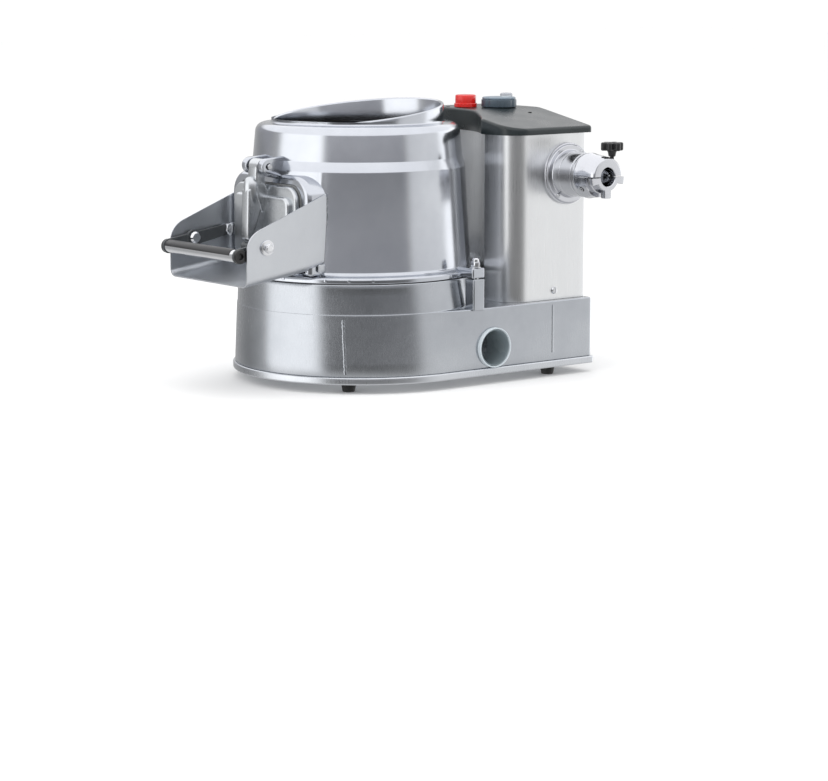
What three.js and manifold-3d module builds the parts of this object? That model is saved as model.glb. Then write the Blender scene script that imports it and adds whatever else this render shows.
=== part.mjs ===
// Countertop drum peeler with an accessory drive, in millimetres, +Z up.
// Pieces are built about the drum's axis, with counter level at Z = 0. -Y is the discharge side,
// +Y the motor column, +X the side with the drain outlet and the accessory drive. The whole is
// then centred, so the origin lies under the middle of the machine.
import * as THREE from "three";
import { mergeVertices } from "three/addons/utils/BufferGeometryUtils.js";
import Module from "manifold-3d";

const wasm = await Module();
wasm.setup();

// ---- driving dimensions -------------------------------------------------------------------
const GAP = 0.3;
const SHEET = 2;
const SMALLEST_EDGE = 0.02;
// Facets round a turned piece, as a share of the number asked for: always a multiple of four, so
// a quarter turn brings a spinning piece back onto itself.
const fineness = 0.36;

const baseHalf = 200;
const baseFrontY = 9;
const baseRearY = 308;
const footHeight = 14;
const rimTop = 25;
const deckTop = 116.5;
const tubTop = 161.5;
const tubRadius = 184;
const tubInner = 177;
const sideStartY = 90;
const floorTop = 122;

const flangeTop = 171;
const drumFoot = 171;
const drumWaist = 163.5;
const drumUpper = 158.5;
const ledgeZ = 331;
const shoulderTop = 388.5;
const neckRadius = 131;
const neckWall = 5;
const neckMidZ = 405.5;
const neckSlope = 0.12;
const drumWall = 5.5;

const bossHalf = 98.5;
const bossFaceY = -165;
const bossBottom = 172.5;
const bossTop = 319;
const bossRound = 34;
const openHalf = 66;
const openBottom = 192;
const openTop = 296;

const chuteOuter = 101.3;
const chuteFrontY = -276;
const chuteFrontZ = 164;
const chuteRearZ = 184.5;
const chuteRearY = -134;

const hinge = { y: -184, z: 331 };
const pivot = { y: -241, z: 221 };
const bail = { y: -284, z: 210.5 };
const bailEnd = { y: -176, z: 230 };
const armX = 90;
const armThick = 4;

const columnHalf = 185;
const columnFrontY = 151;
const columnRearY = 303.5;
const glandEndY = 317;
const columnCorner = 33;
const columnTop = 376;
const recess = 193.5;

const coverBottom = 370.5;
const coverEaves = 380.5;
const coverTop = 404;
const coverFlatHalf = 66;
const coverLip = 6;

const drive = { y: 260.5, z: 309.5 };
const noseEnd = 280;
const boreRadius = 14.3;

const drain = { x: 100, y: 107, z: 55.5, r: 30.4 };
const motorAxis = { x: -70, y: 243 };
const beltZ = 71;
const bigPulley = 80;
const smallPulley = 20;

// ---- materials ----------------------------------------------------------------------------
const finish = (color, roughness, metalness) =>
  new THREE.MeshStandardMaterial({ color, roughness, metalness });
const castAluminium = finish(0xb9bbbe, 0.35, 0.9);
const sheetSteel = finish(0xc4c6c8, 0.3, 1);
const satinSteel = finish(0xa9acb0, 0.35, 1);
const brightSteel = finish(0xd5d7da, 0.18, 1);
const darkPlate = finish(0x4a5056, 0.5, 0.6);
const slatePlastic = finish(0x2c3337, 0.5, 0);
const blackPlastic = finish(0x17191b, 0.5, 0);
const blackRubber = finish(0x141414, 0.85, 0);
const palePlastic = finish(0xdde3e6, 0.4, 0);
const redPlastic = finish(0xe01b18, 0.35, 0);
const slateBluePlastic = finish(0x3d4f60, 0.4, 0);
const clearPlastic = finish(0xc98fa6, 0.25, 0);
const grit = finish(0x3b3a38, 0.95, 0);
const motorPaint = finish(0x5c6670, 0.55, 0.2);
const brass = finish(0xb48a4a, 0.35, 1);

// ---- geometry helpers -----------------------------------------------------------------------
const alongX = new THREE.Matrix4().makeBasis(
  new THREE.Vector3(0, 1, 0), new THREE.Vector3(0, 0, 1), new THREE.Vector3(1, 0, 0));
const alongY = new THREE.Matrix4().makeBasis(
  new THREE.Vector3(0, 0, 1), new THREE.Vector3(1, 0, 0), new THREE.Vector3(0, 1, 0));

// Carries a shape drawn in (x, z) out along +Y.
const upright = new THREE.Matrix4().makeBasis(
  new THREE.Vector3(1, 0, 0), new THREE.Vector3(0, 0, 1), new THREE.Vector3(0, 1, 0));

function toSolid(geometry) {
  const bare = geometry.clone();
  bare.deleteAttribute("normal");
  bare.deleteAttribute("uv");
  const merged = mergeVertices(bare, 1e-4);
  const index = merged.index.array;
  const kept = [];
  for (let i = 0; i < index.length; i += 3) {
    const [a, b, c] = [index[i], index[i + 1], index[i + 2]];
    if (a !== b && b !== c && a !== c) kept.push(a, b, c);
  }
  const vertProperties = new Float32Array(merged.attributes.position.array);
  const mesh = (triVerts) => new wasm.Mesh({ numProp: 3, vertProperties, triVerts });
  const solid = new wasm.Manifold(mesh(new Uint32Array(kept)));
  if (solid.volume() > 0) return solid;
  for (let i = 0; i < kept.length; i += 3) {
    [kept[i], kept[i + 1]] = [kept[i + 1], kept[i]];
  }
  return new wasm.Manifold(mesh(new Uint32Array(kept)));
}

function toGeometry(solid) {
  const mesh = solid.simplify(SMALLEST_EDGE).getMesh();
  const positions = new Float32Array(mesh.numVert * 3);
  for (let i = 0; i < mesh.numVert; i += 1) {
    positions.set(mesh.vertProperties.subarray(i * mesh.numProp, i * mesh.numProp + 3), i * 3);
  }
  const geometry = new THREE.BufferGeometry();
  geometry.setAttribute("position", new THREE.BufferAttribute(positions, 3));
  geometry.setIndex(new THREE.BufferAttribute(new Uint32Array(mesh.triVerts), 1));
  return geometry;
}

const join = (...pieces) => pieces.reduce((sum, piece) => sum.add(piece));
const cut = (body, ...tools) => tools.reduce((rest, tool) => rest.subtract(tool), body);

function box(x0, x1, y0, y1, z0, z1) {
  const geometry = new THREE.BoxGeometry(x1 - x0, y1 - y0, z1 - z0);
  geometry.translate((x0 + x1) / 2, (y0 + y1) / 2, (z0 + z1) / 2);
  return toSolid(geometry);
}

function extrude(shape, from, to, basis = new THREE.Matrix4(), curveSegments = 4) {
  const depth = to - from;
  const geometry = new THREE.ExtrudeGeometry(shape, { depth, bevelEnabled: false, curveSegments });
  geometry.translate(0, 0, from);
  geometry.applyMatrix4(basis);
  return toSolid(geometry);
}

// Polygon in (y, z) pushed along X; polygon in (z, x) pushed along Y.
const prismX = (points, x0, x1) =>
  extrude(new THREE.Shape(points.map(([y, z]) => new THREE.Vector2(y, z))), x0, x1, alongX);
const prismY = (points, y0, y1) =>
  extrude(new THREE.Shape(points.map(([x, z]) => new THREE.Vector2(z, x))), y0, y1, alongY);

// Profile of [radius, height] points turned about Z, or laid along X or Y.
function turned(profile, segments = 48) {
  const points = profile.map(([r, h]) => new THREE.Vector2(r, h));
  const facets = Math.max(8, 4 * Math.round((segments * fineness) / 4));
  const geometry = new THREE.LatheGeometry(points, facets);
  geometry.rotateX(Math.PI / 2);
  return toSolid(geometry);
}
const turnedX = (profile, y, z, segments) =>
  turned(profile, segments).rotate([0, 90, 0]).translate([0, y, z]);

const rod = (r, h0, h1) => [[0, h0], [r, h0], [r, h1], [0, h1]];
const ring = (r0, r1, h0, h1) => [[r0, h0], [r1, h0], [r1, h1], [r0, h1], [r0, h0]];
const chamferedRod = (r, h0, h1, c) => [[0, h0], [r, h0], [r, h1 - c], [r - c, h1], [0, h1]];

function hexagon(acrossFlats) {
  const corner = acrossFlats / Math.sqrt(3);
  const points = [0, 1, 2, 3, 4, 5].map((k) => {
    const angle = (k * Math.PI) / 3;
    return new THREE.Vector2(corner * Math.cos(angle), corner * Math.sin(angle));
  });
  return new THREE.Shape(points);
}

function roundedRect(x0, x1, y0, y1, r) {
  const shape = new THREE.Shape();
  shape.moveTo(x0 + r, y0);
  shape.lineTo(x1 - r, y0);
  shape.absarc(x1 - r, y0 + r, r, -Math.PI / 2, 0);
  shape.lineTo(x1, y1 - r);
  shape.absarc(x1 - r, y1 - r, r, 0, Math.PI / 2);
  shape.lineTo(x0 + r, y1);
  shape.absarc(x0 + r, y1 - r, r, Math.PI / 2, Math.PI);
  shape.lineTo(x0, y0 + r);
  shape.absarc(x0 + r, y0 + r, r, Math.PI, 1.5 * Math.PI);
  return shape;
}

const group = new THREE.Group();
function add(name, solid, material) {
  const mesh = new THREE.Mesh(toGeometry(solid), material);
  mesh.name = name;
  group.add(mesh);
}

// ---- base -----------------------------------------------------------------------------------
// D-shaped outline: half circle in front, straight sides, square back with cut corners.
function baseOutline(half, rearY) {
  const corner = 5;
  const shape = new THREE.Shape();
  shape.absarc(0, baseFrontY, half, Math.PI, 2 * Math.PI);
  shape.lineTo(half, rearY - corner);
  shape.lineTo(half - corner, rearY);
  shape.lineTo(-half + corner, rearY);
  shape.lineTo(-half, rearY - corner);
  return shape;
}

function basePan() {
  const plate = extrude(baseOutline(baseHalf, baseRearY), footHeight, rimTop, undefined, 20);
  const hollow = extrude(baseOutline(baseHalf - 6, baseRearY - 6), footHeight + 3, rimTop + 1,
    undefined, 20);
  return cut(plate, hollow);
}

// Tub wall: a cone that leans back from the base outline's front circle to the drum's circle.
const tubBottom = rimTop + GAP;
const tubRise = tubTop - tubBottom;
const tubFoot = baseHalf - 3;
function tub() {
  const cone = turned([[0, 0], [tubFoot, 0], [tubRadius, tubRise], [0, tubRise]], 72);
  const lean = -baseFrontY / tubRise;
  const shear = [1, 0, 0, 0, 0, 1, 0, 0, 0, lean, 1, 0, 0, baseFrontY, tubBottom, 1];
  return cone.transform(shear);
}

// Lower part of the casing: its straight sides run in a tangent onto the tub at every height.
function casingBody(rearY) {
  const inset = 0.6;
  const corner = 5;
  const climbed = (deckTop - tubBottom) / tubRise;
  const deckRadius = tubFoot + (tubRadius - tubFoot) * climbed;
  const disc = (radius, y, z) => turned(rod(radius - inset, z, z + 0.5), 72).translate([0, y, 0]);
  return wasm.Manifold.hull([
    disc(tubFoot, baseFrontY, tubBottom),
    disc(deckRadius, baseFrontY * (1 - climbed), deckTop - 0.5),
    box(-tubFoot, tubFoot, sideStartY, rearY - corner, tubBottom, deckTop),
    box(-tubFoot + corner, tubFoot - corner, sideStartY, rearY, tubBottom, deckTop),
  ]);
}

function baseCasing() {
  const wall = 4;
  const rearY = baseRearY - 3;
  const shell = join(casingBody(rearY), tub());
  const hollowFront = turned(rod(baseHalf - 16, tubBottom - 1, floorTop - 6), 48)
    .translate([0, baseFrontY - 5, 0]);
  const inside = tubFoot - wall;
  const rearHollow = roundedRect(-inside, inside, sideStartY - 6, rearY - wall, 8);
  const hollowRear = extrude(rearHollow, tubBottom - 1, deckTop - wall);
  const tubHollow = turned(rod(tubInner, floorTop, tubTop + 5), 72);
  const boss = turned(rod(30, 84, floorTop - 3), 32);
  const posts = [-1, 1].map((side) =>
    box(side > 0 ? 178 : -199, side > 0 ? 199 : -178, 66, 88, deckTop - 2, tubTop - 0.5));
  const shaftBore = turned(rod(20, 70, floorTop + 1), 32);
  const drainBore = turned(rod(drain.r + 2, 100, floorTop + 1), 32)
    .translate([drain.x, drain.y, 0]);
  const outletBore = turnedX(rod(drain.r + 2, drain.x, 210), drain.y, drain.z, 32);
  const motorBore = turned(rod(24, deckTop - 10, deckTop + 5), 32)
    .translate([motorAxis.x, motorAxis.y, 0]);
  const boltBores = [-1, 1].map((side) =>
    turned(rod(6, 137, 170), 16).translate([side * 190, 77, 0]));
  const hollowed = cut(join(shell, ...posts), hollowFront, hollowRear, tubHollow, ...boltBores);
  return cut(join(hollowed, boss), shaftBore, drainBore, outletBore, motorBore);
}

function foot() {
  return turned([[0, 0], [9.5, 0], [12, footHeight - GAP], [0, footHeight - GAP]], 20);
}

function drainPipe() {
  const bend = 34;
  const path = new THREE.CurvePath();
  const topZ = floorTop - 0.5;
  path.add(new THREE.LineCurve3(
    new THREE.Vector3(drain.x, drain.y, topZ), new THREE.Vector3(drain.x, drain.y, drain.z + bend)));
  path.add(new THREE.QuadraticBezierCurve3(
    new THREE.Vector3(drain.x, drain.y, drain.z + bend), new THREE.Vector3(drain.x, drain.y, drain.z),
    new THREE.Vector3(drain.x + bend, drain.y, drain.z)));
  path.add(new THREE.LineCurve3(
    new THREE.Vector3(drain.x + bend, drain.y, drain.z), new THREE.Vector3(202.5, drain.y, drain.z)));
  const section = new THREE.Shape().absarc(0, 0, drain.r, 0, 2 * Math.PI);
  section.holes.push(new THREE.Path().absarc(0, 0, drain.r - 3, 0, 2 * Math.PI, true));
  const tube = new THREE.ExtrudeGeometry(section, { extrudePath: path, steps: 7, curveSegments: 8 });
  return toSolid(tube);
}

// ---- drum -----------------------------------------------------------------------------------
function drumOuter() {
  const round = 20;
  const arc = [0, 22.5, 45, 67.5, 90].map((degrees) => {
    const angle = (degrees * Math.PI) / 180;
    const centreR = drumUpper - 4 - round;
    return [centreR + round * Math.cos(angle), shoulderTop - round + round * Math.sin(angle)];
  });
  return [
    [0, tubTop + GAP + 0.6], [tubRadius, tubTop + GAP + 0.6], [tubRadius, flangeTop - 3],
    [tubRadius - 3, flangeTop], [drumFoot + 3, flangeTop + 2], [drumFoot, flangeTop + 8],
    [drumWaist, ledgeZ - 7], [drumWaist - 1.5, ledgeZ - 3], [drumUpper + 0.8, ledgeZ + 7],
    ...arc, [neckRadius + 4, shoulderTop], [neckRadius, shoulderTop + 4], [neckRadius, 430], [0, 430],
  ];
}

function doorBoss() {
  const frame = extrude(roundedRect(-bossHalf, bossHalf, bossBottom, bossTop, bossRound),
    bossFaceY, 0, upright);
  const foot = box(-bossHalf, bossHalf, bossFaceY, 0, bossBottom, bossBottom + bossRound);
  const core = turned(rod(drumUpper - 3, bossBottom - 5, bossTop + 5), 48);
  return cut(join(frame, foot), core);
}

function hingeLugs() {
  const nose = 12;
  const lug = join(
    prismX([[hinge.y, hinge.z - nose], [bossFaceY + 12, hinge.z - nose - 2],
      [bossFaceY + 12, hinge.z + nose + 3], [hinge.y, hinge.z + nose]], 15, 27),
    turnedX(rod(nose, 15, 27), hinge.y, hinge.z, 24));
  const both = join(lug, lug.translate([-42, 0, 0]));
  return cut(both, turnedX(rod(5.2, -40, 40), hinge.y, hinge.z, 20));
}

function drumEars() {
  return join(...[-1, 1].map((side) => {
    const ear = box(side > 0 ? 160 : -198, side > 0 ? 198 : -160, 65, 89, tubTop + 0.9, 177.5);
    const bore = turned(rod(6, 150, 190), 16).translate([side * 190, 77, 0]);
    return cut(ear, bore);
  }));
}

function drumInner() {
  const top = shoulderTop - drumWall;
  return turned([[0, tubTop - 5], [drumUpper - drumWall, tubTop - 5], [drumUpper - drumWall, top - 14],
    [neckRadius - neckWall, top], [neckRadius - neckWall, 440], [0, 440]], 72);
}

function drum() {
  const outer = turned(drumOuter(), 72);
  const edgeFront = neckMidZ - neckSlope * 200;
  const edgeRear = neckMidZ + neckSlope * 200;
  const slantCut = prismX([[-200, edgeFront], [200, edgeRear], [200, 450], [-200, 450]], -200, 200);
  const frame = roundedRect(-openHalf, openHalf, openBottom, openTop, 16);
  const opening = extrude(frame, -175, -100, upright);
  const seat = extrude(roundedRect(-83, 83, 189, 306, 25), bossFaceY - 1, bossFaceY + 3.5,
    upright);
  const solid = join(outer, doorBoss(), hingeLugs(), drumEars());
  return cut(solid, drumInner(), slantCut, opening, seat);
}

function drumSeal() {
  return turned(ring(tubInner + 1, tubRadius - 2, tubTop + 0.15, tubTop + 0.75), 48);
}

function abrasiveLiner() {
  const outer = drumUpper - drumWall - 2.5;
  const sleeve = turned(ring(outer - 4, outer, 184, 330), 60);
  return cut(sleeve, box(-openHalf - 6, openHalf + 6, -200, -60, openBottom - 8, openTop + 8));
}

function drumBolt() {
  const shank = turned(rod(4.6, 140, 180), 14);
  const head = extrude(hexagon(13), 177.8, 187);
  const cap = turned([[0, 187], [5.5, 187], [5.5, 189], [3.5, 192.5], [0, 192.5]], 14);
  return join(shank, head, cap);
}

// ---- chute ----------------------------------------------------------------------------------
function chute() {
  const inner = chuteOuter - SHEET;
  const tilt = Math.atan2(chuteRearZ - chuteFrontZ, 140);
  const trough = (half, r, low) => {
    const shape = new THREE.Shape();
    shape.moveTo(-half, 200);
    shape.lineTo(-half, low + r);
    shape.absarc(-half + r, low + r, r, Math.PI, 1.5 * Math.PI);
    shape.lineTo(half - r, low);
    shape.absarc(half - r, low + r, r, -Math.PI / 2, 0);
    shape.lineTo(half, 200);
    return extrude(shape, -20, 200, upright);
  };
  const bent = cut(trough(chuteOuter, 12, 0), trough(inner, 10, SHEET).translate([0, 0, 0.001]))
    .rotate([(tilt * 180) / Math.PI, 0, 0]).translate([0, chuteFrontY, chuteFrontZ]);
  const side = new THREE.Shape();
  side.moveTo(chuteFrontY, 140);
  side.lineTo(chuteFrontY, 238 - 24);
  side.quadraticCurveTo(chuteFrontY, 238, chuteFrontY + 23, 247.5);
  side.lineTo(chuteRearY, 293.5);
  side.lineTo(chuteRearY - 2, 140);
  const trimmed = bent.intersect(extrude(side, -120, 120, alongX));
  const bossRoom = box(-bossHalf - GAP, bossHalf + GAP, bossFaceY - GAP, 0, 100, 400);
  const drumRoom = turned([[0, 100], [tubRadius + 3, 100], [tubRadius + 3, flangeTop + 3],
    [drumFoot + 3, flangeTop + 10], [drumWaist + 2, ledgeZ - 7], [0, ledgeZ - 7]], 72);
  const bores = turnedX(rod(7, -120, 120), pivot.y, pivot.z, 20);
  return cut(trimmed, bossRoom, drumRoom, bores);
}

function pivotBolt() {
  const inner = armX - 5;
  return join(
    turnedX(rod(5.8, inner, chuteOuter + 4), pivot.y, pivot.z, 18),
    turnedX([[0, inner - 4], [7, inner - 4], [9, inner - 1], [9, inner], [0, inner]],
      pivot.y, pivot.z, 18),
    turnedX(rod(11.5, chuteOuter + GAP, chuteOuter + 2.3), pivot.y, pivot.z, 20),
    extrude(hexagon(13), chuteOuter + 2.2, chuteOuter + 8, alongX).translate([0, pivot.y, pivot.z]));
}

// ---- latch bail -----------------------------------------------------------------------------
function latchArm(side) {
  const halfHeight = 8;
  const dy = bailEnd.y - bail.y;
  const dz = bailEnd.z - bail.z;
  const length = Math.hypot(dy, dz);
  const [ny, nz] = [(-dz / length) * halfHeight, (dy / length) * halfHeight];
  const bar = prismX([[bail.y - ny, bail.z - nz], [bailEnd.y - ny, bailEnd.z - nz],
    [bailEnd.y + ny, bailEnd.z + nz], [bail.y + ny, bail.z + nz]], armX, armX + armThick);
  const eye = turnedX(rod(12, armX, armX + armThick), bail.y, bail.z, 24);
  const end = turnedX(rod(halfHeight, armX, armX + armThick), bailEnd.y, bailEnd.z, 20);
  const pivotPad = turnedX(rod(11, armX, armX + armThick), pivot.y, pivot.z, 24);
  const pivotHole = turnedX(rod(7, 80, 100), pivot.y, pivot.z, 18);
  const eyeHole = turnedX(rod(7, 80, 100), bail.y, bail.z, 18);
  const endHole = turnedX(rod(6, 80, 100), bailEnd.y, bailEnd.z, 16);
  const arm = cut(join(bar, eye, end, pivotPad), pivotHole, eyeHole, endHole);
  return side > 0 ? arm : arm.mirror([1, 0, 0]);
}

function latchNut() {
  return join(
    extrude(hexagon(18), armX - 7, armX - GAP, alongX).translate([0, bailEnd.y, bailEnd.z]),
    turnedX(rod(4.6, armX - 8, armX + armThick + 2), bailEnd.y, bailEnd.z, 16),
    turnedX(rod(8, armX + armThick + 0.2, armX + armThick + 2.2), bailEnd.y, bailEnd.z, 18));
}

function latchCap() {
  return turnedX(rod(5.9, armX - 8, armX + armThick + 1), bail.y, bail.z, 18)
    .add(turnedX(ring(4.5, 10.5, armX + armThick + 0.2, armX + armThick + 4), bail.y, bail.z, 24));
}

function latchTube() {
  return turnedX(ring(6.3, 9.7, -armX + GAP, armX - GAP), bail.y, bail.z, 24);
}

// Short stud that reaches in from the arm beside the door's foot.
const catchSpot = { y: -206.5, z: 211.5 };
function latchStud() {
  const outer = armX - GAP;
  return turnedX([[0, outer - 7], [4.5, outer - 7], [6.5, outer - 5], [6.5, outer], [0, outer]],
    catchSpot.y, catchSpot.z, 20);
}

// ---- door -----------------------------------------------------------------------------------
function door() {
  const backY = bossFaceY + 0.3;
  const plate = extrude(roundedRect(-80, 80, 192, 303, 22), backY - 10, backY - 2, upright);
  const pad = extrude(roundedRect(-69, 69, 199, 285, 11), -182, backY - 9.9, upright);
  const plug = extrude(roundedRect(-62, 62, 196, 292, 13), backY - 2.1, -156, upright);
  const spine = prismX([[-172, 222], [-204, 219.5], [-211, 224], [-207.5, 290], [-172, 290]], -10, 10);
  const bulb = turned([[0, 0], [8, 1.6], [11, 6], [12, 12], [12, 30], [0, 30]], 24)
    .mirror([0, 0, 1]).translate([0, -197, 316.5]);
  const neck = new THREE.Shape();
  neck.moveTo(-186, 262);
  neck.lineTo(-195.5, 300);
  neck.quadraticCurveTo(-197, 320, -195, 331);
  neck.lineTo(-184, 331);
  neck.quadraticCurveTo(-185, 312, -173, 296);
  neck.lineTo(-172, 262);
  const arm = extrude(neck, -11, 11, alongX);
  const eye = turnedX(rod(11, -11, 11), hinge.y, hinge.z, 24);
  const bore = turnedX(rod(5.2, -20, 20), hinge.y, hinge.z, 20);
  return cut(join(plate, pad, plug, spine, bulb, arm, eye), bore);
}

// Dark striker under the foot of the door's spine.
function doorCatch() {
  const { y, z } = catchSpot;
  return turnedX(chamferedRod(6.2, -9, 9, 1), y + 1, z + 1, 20);
}

function doorSeal() {
  const seal = extrude(roundedRect(-75, 75, 190, 304, 18), bossFaceY + 0.6, bossFaceY + 3.2,
    upright);
  return cut(seal, extrude(roundedRect(-67, 67, 193, 297, 15), -170, -150, upright));
}

function hingePin() {
  return join(
    turnedX(rod(4.2, -31, 31), hinge.y, hinge.z, 18),
    turnedX(rod(8, -32, -27.3), hinge.y, hinge.z, 18));
}

// ---- motor column ---------------------------------------------------------------------------
function columnOutline(offset) {
  const half = columnHalf + offset;
  const front = columnFrontY - offset;
  const rear = columnRearY + offset;
  const corner = columnCorner + offset;
  const hug = recess - offset;
  const reach = Math.sqrt(hug * hug - front * front);
  const angle = Math.atan2(front, reach);
  const rearCorner = 8;
  const shape = new THREE.Shape();
  shape.moveTo(reach, front);
  shape.lineTo(half - corner, front);
  shape.absarc(half - corner, front + corner, corner, -Math.PI / 2, 0);
  shape.lineTo(half, rear - rearCorner);
  shape.absarc(half - rearCorner, rear - rearCorner, rearCorner, 0, Math.PI / 2);
  shape.lineTo(-half + rearCorner, rear);
  shape.absarc(-half + rearCorner, rear - rearCorner, rearCorner, Math.PI / 2, Math.PI);
  shape.lineTo(-half, front + corner);
  shape.absarc(-half + corner, front + corner, corner, Math.PI, 1.5 * Math.PI);
  shape.lineTo(-reach, front);
  shape.absarc(0, 0, hug, Math.PI - angle, angle, true);
  return shape;
}

function column() {
  const outside = extrude(columnOutline(0), deckTop + GAP, columnTop, undefined, 5);
  const inside = extrude(columnOutline(-SHEET), deckTop, columnTop + 1, undefined, 5);
  const driveHole = turnedX(rod(36, 170, 200), drive.y, drive.z, 32);
  const screwHoles = join(turnedX(rod(3.2, -200, 200), 237, 131, 12),
    ...screwSpots().map(([y, z]) => turnedX(rod(3.2, 170, 200), y, z, 12)));
  const glandHole = turned(rod(10, 280, 310), 18).rotate([-90, 0, 0]).translate([120, 0, 140]);
  return cut(outside, inside, driveHole, screwHoles, glandHole);
}

function columnScrew() {
  const head = turnedX(chamferedRod(5.5, columnHalf + 0.2, columnHalf + 3, 1), 237, 131, 16);
  const shank = turnedX(rod(2.3, columnHalf - 8, columnHalf + 0.3), 237, 131, 12);
  const slot = box(columnHalf + 1.8, columnHalf + 4, 236.4, 237.6, 124, 138);
  return cut(join(head, shank), slot);
}

function cover() {
  const thick = 3;
  const half = columnHalf + coverLip;
  const profile = (inset, bottom) => [
    [-half + inset, bottom], [half - inset, bottom], [half - inset, coverEaves - inset],
    [coverFlatHalf - inset / 6, coverTop - inset], [-coverFlatHalf + inset / 6, coverTop - inset],
    [-half + inset, coverEaves - inset]];
  const outer = extrude(columnOutline(coverLip), coverBottom, coverTop + 5, undefined, 5)
    .intersect(prismY(profile(0, coverBottom), 100, 320));
  const inner = extrude(columnOutline(coverLip - thick), coverBottom - 1, coverTop, undefined, 5)
    .intersect(prismY(profile(thick, coverBottom - 1), 100, 320));
  const bores = [stop, timer, start].map(({ x, y }) =>
    turned(rod(5.7, coverTop - 10, coverTop + 5), 16).translate([x, y, 0]));
  return cut(outer, inner, ...bores);
}

// ---- controls -------------------------------------------------------------------------------
const stop = { x: 1, y: 211 };
const timer = { x: 38, y: 248 };
const start = { x: 13, y: 284 };

function stopCollar() {
  return turned([[8.8, 0], [18, 0], [18, 5.4], [17.2, 6], [16.8, 6], [16.8, 1], [8.8, 1], [8.8, 0]], 28)
    .translate([stop.x, stop.y, coverTop + GAP]);
}
function stopButton() {
  return turned([[0, -9], [5, -9], [5, 4], [16.3, 4.4], [16.3, 17], [14.5, 19], [0, 19]], 28)
    .translate([stop.x, stop.y, coverTop + GAP]);
}
function timerKnob() {
  const skirt = turned([[0, -9], [5, -9], [5, 0.4], [27.5, 0.4], [27.5, 12], [25, 16], [0, 16]], 36);
  const flutes = [0, 1, 2, 3, 4, 5, 6, 7].map((k) => {
    const angle = (k * Math.PI) / 4 + 0.2;
    return turned(rod(3, 3, 20), 10).translate([29 * Math.cos(angle), 29 * Math.sin(angle), 0]);
  });
  const pointer = box(-2, 2, 6, 24, 15.5, 17);
  return join(cut(skirt, ...flutes), pointer).translate([timer.x, timer.y, coverTop + GAP]);
}
function startCollar() {
  return turned(ring(10.2, 12.6, 0, 4), 24).translate([start.x, start.y, coverTop + GAP]);
}
function startButton() {
  return turned([[0, -9], [5, -9], [5, 3.4], [9.8, 3.8], [9.8, 17], [8, 20], [0, 20]], 24)
    .translate([start.x, start.y, coverTop + GAP]);
}

// ---- accessory drive ------------------------------------------------------------------------
function driveHousing() {
  const face = columnHalf + GAP;
  const profile = [[16, 172], [33.5, 172], [33.5, face], [47.2, face], [47.2, face + 4],
    [43.5, face + 8], [36.5, face + 8], [35.5, face + 10], [33, 235], [31.5, 236], [31.5, 238],
    [16, 238], [16, 172]];
  const body = turnedX(profile, drive.y, drive.z, 48);
  return cut(body, ...screwSpots().map(([y, z]) => turnedX(rod(3.2, 180, 200), y, z, 12)));
}
function screwSpots() {
  return [234, 54].map((degrees) => {
    const angle = (degrees * Math.PI) / 180;
    return [drive.y + 40 * Math.cos(angle), drive.z + 40 * Math.sin(angle)];
  });
}
function housingScrew([y, z]) {
  const face = columnHalf + GAP + 8.2;
  return join(
    turnedX(rod(2.3, face - 9, face + 0.1), y, z, 12),
    turnedX([[0, face], [3.6, face], [2.6, face + 1.8], [0, face + 1.8]], y, z, 16));
}

const knob = { x: 268, y: drive.y + 18 };

function driveSocket() {
  const body = turnedX([[boreRadius, 238.3], [34.5, 238.3], [34.5, 241], [33.5, 243], [30, 276],
    [26.5, noseEnd], [boreRadius, noseEnd], [boreRadius, 238.3]], drive.y, drive.z, 48);
  const lowerCut = box(262, 300, drive.y - 50, drive.y + 50, drive.z - 50, drive.z + 0.8);
  const saw = box(250, 263, drive.y - 50, drive.y - 5, drive.z - 0.8, drive.z + 0.8);
  const knobBore = turned(rod(4.6, drive.z - 60, drive.z + 60), 14).translate([knob.x, knob.y, 0]);
  const setBore = setScrewFrame(turned(rod(4.2, 12, 40), 14));
  return cut(body, lowerCut, saw, knobBore, setBore);
}
// Radial direction of the set screw: lower front quarter of the socket.
function setScrewFrame(solid) {
  return solid.rotate([125, 0, 0]).translate([251, drive.y, drive.z]);
}
function socketLugs() {
  const hub = turnedX([[boreRadius, 262.3], [21, 262.3], [21, noseEnd], [boreRadius, noseEnd],
    [boreRadius, 262.3]], drive.y, drive.z, 36);
  const lug = (degrees) => box(271, noseEnd, -6.5, 6.5, 15, 32).rotate([degrees, 0, 0])
    .translate([0, drive.y, drive.z]);
  const web = turnedX(ring(20, 26, 262.3, 268), drive.y, drive.z, 36);
  const lower = box(260, 300, drive.y - 60, drive.y + 60, drive.z - 60, drive.z - 0.8);
  const knobBore = turned(rod(4.6, drive.z - 60, drive.z + 60), 14).translate([knob.x, knob.y, 0]);
  const lugs = join(hub, web, lug(100), lug(180), lug(260)).intersect(lower);
  const bore = turnedX(rod(boreRadius, 255, 290), drive.y, drive.z, 36);
  return cut(lugs, bore, knobBore);
}
function setScrew() {
  return setScrewFrame(cut(turned(rod(3.1, 18, 33.5), 14), extrude(hexagon(2.6), 30, 34)));
}
function clampKnob() {
  const star = new THREE.Shape();
  const lobes = 6;
  const steps = 24;
  star.moveTo(17.6, 0);
  for (let i = 1; i < steps; i += 1) {
    const angle = (2 * Math.PI * i) / steps;
    const r = 15 + 2.6 * Math.cos(lobes * angle);
    star.lineTo(r * Math.cos(angle), r * Math.sin(angle));
  }
  star.closePath();
  const grip = extrude(star, 38.5, 51);
  const stem = turned([[0, -14], [3.1, -14], [3.1, 29.5], [5.5, 30], [8, 38.6], [0, 38.6]], 16);
  return join(grip, stem).translate([knob.x, knob.y, drive.z]);
}

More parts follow.
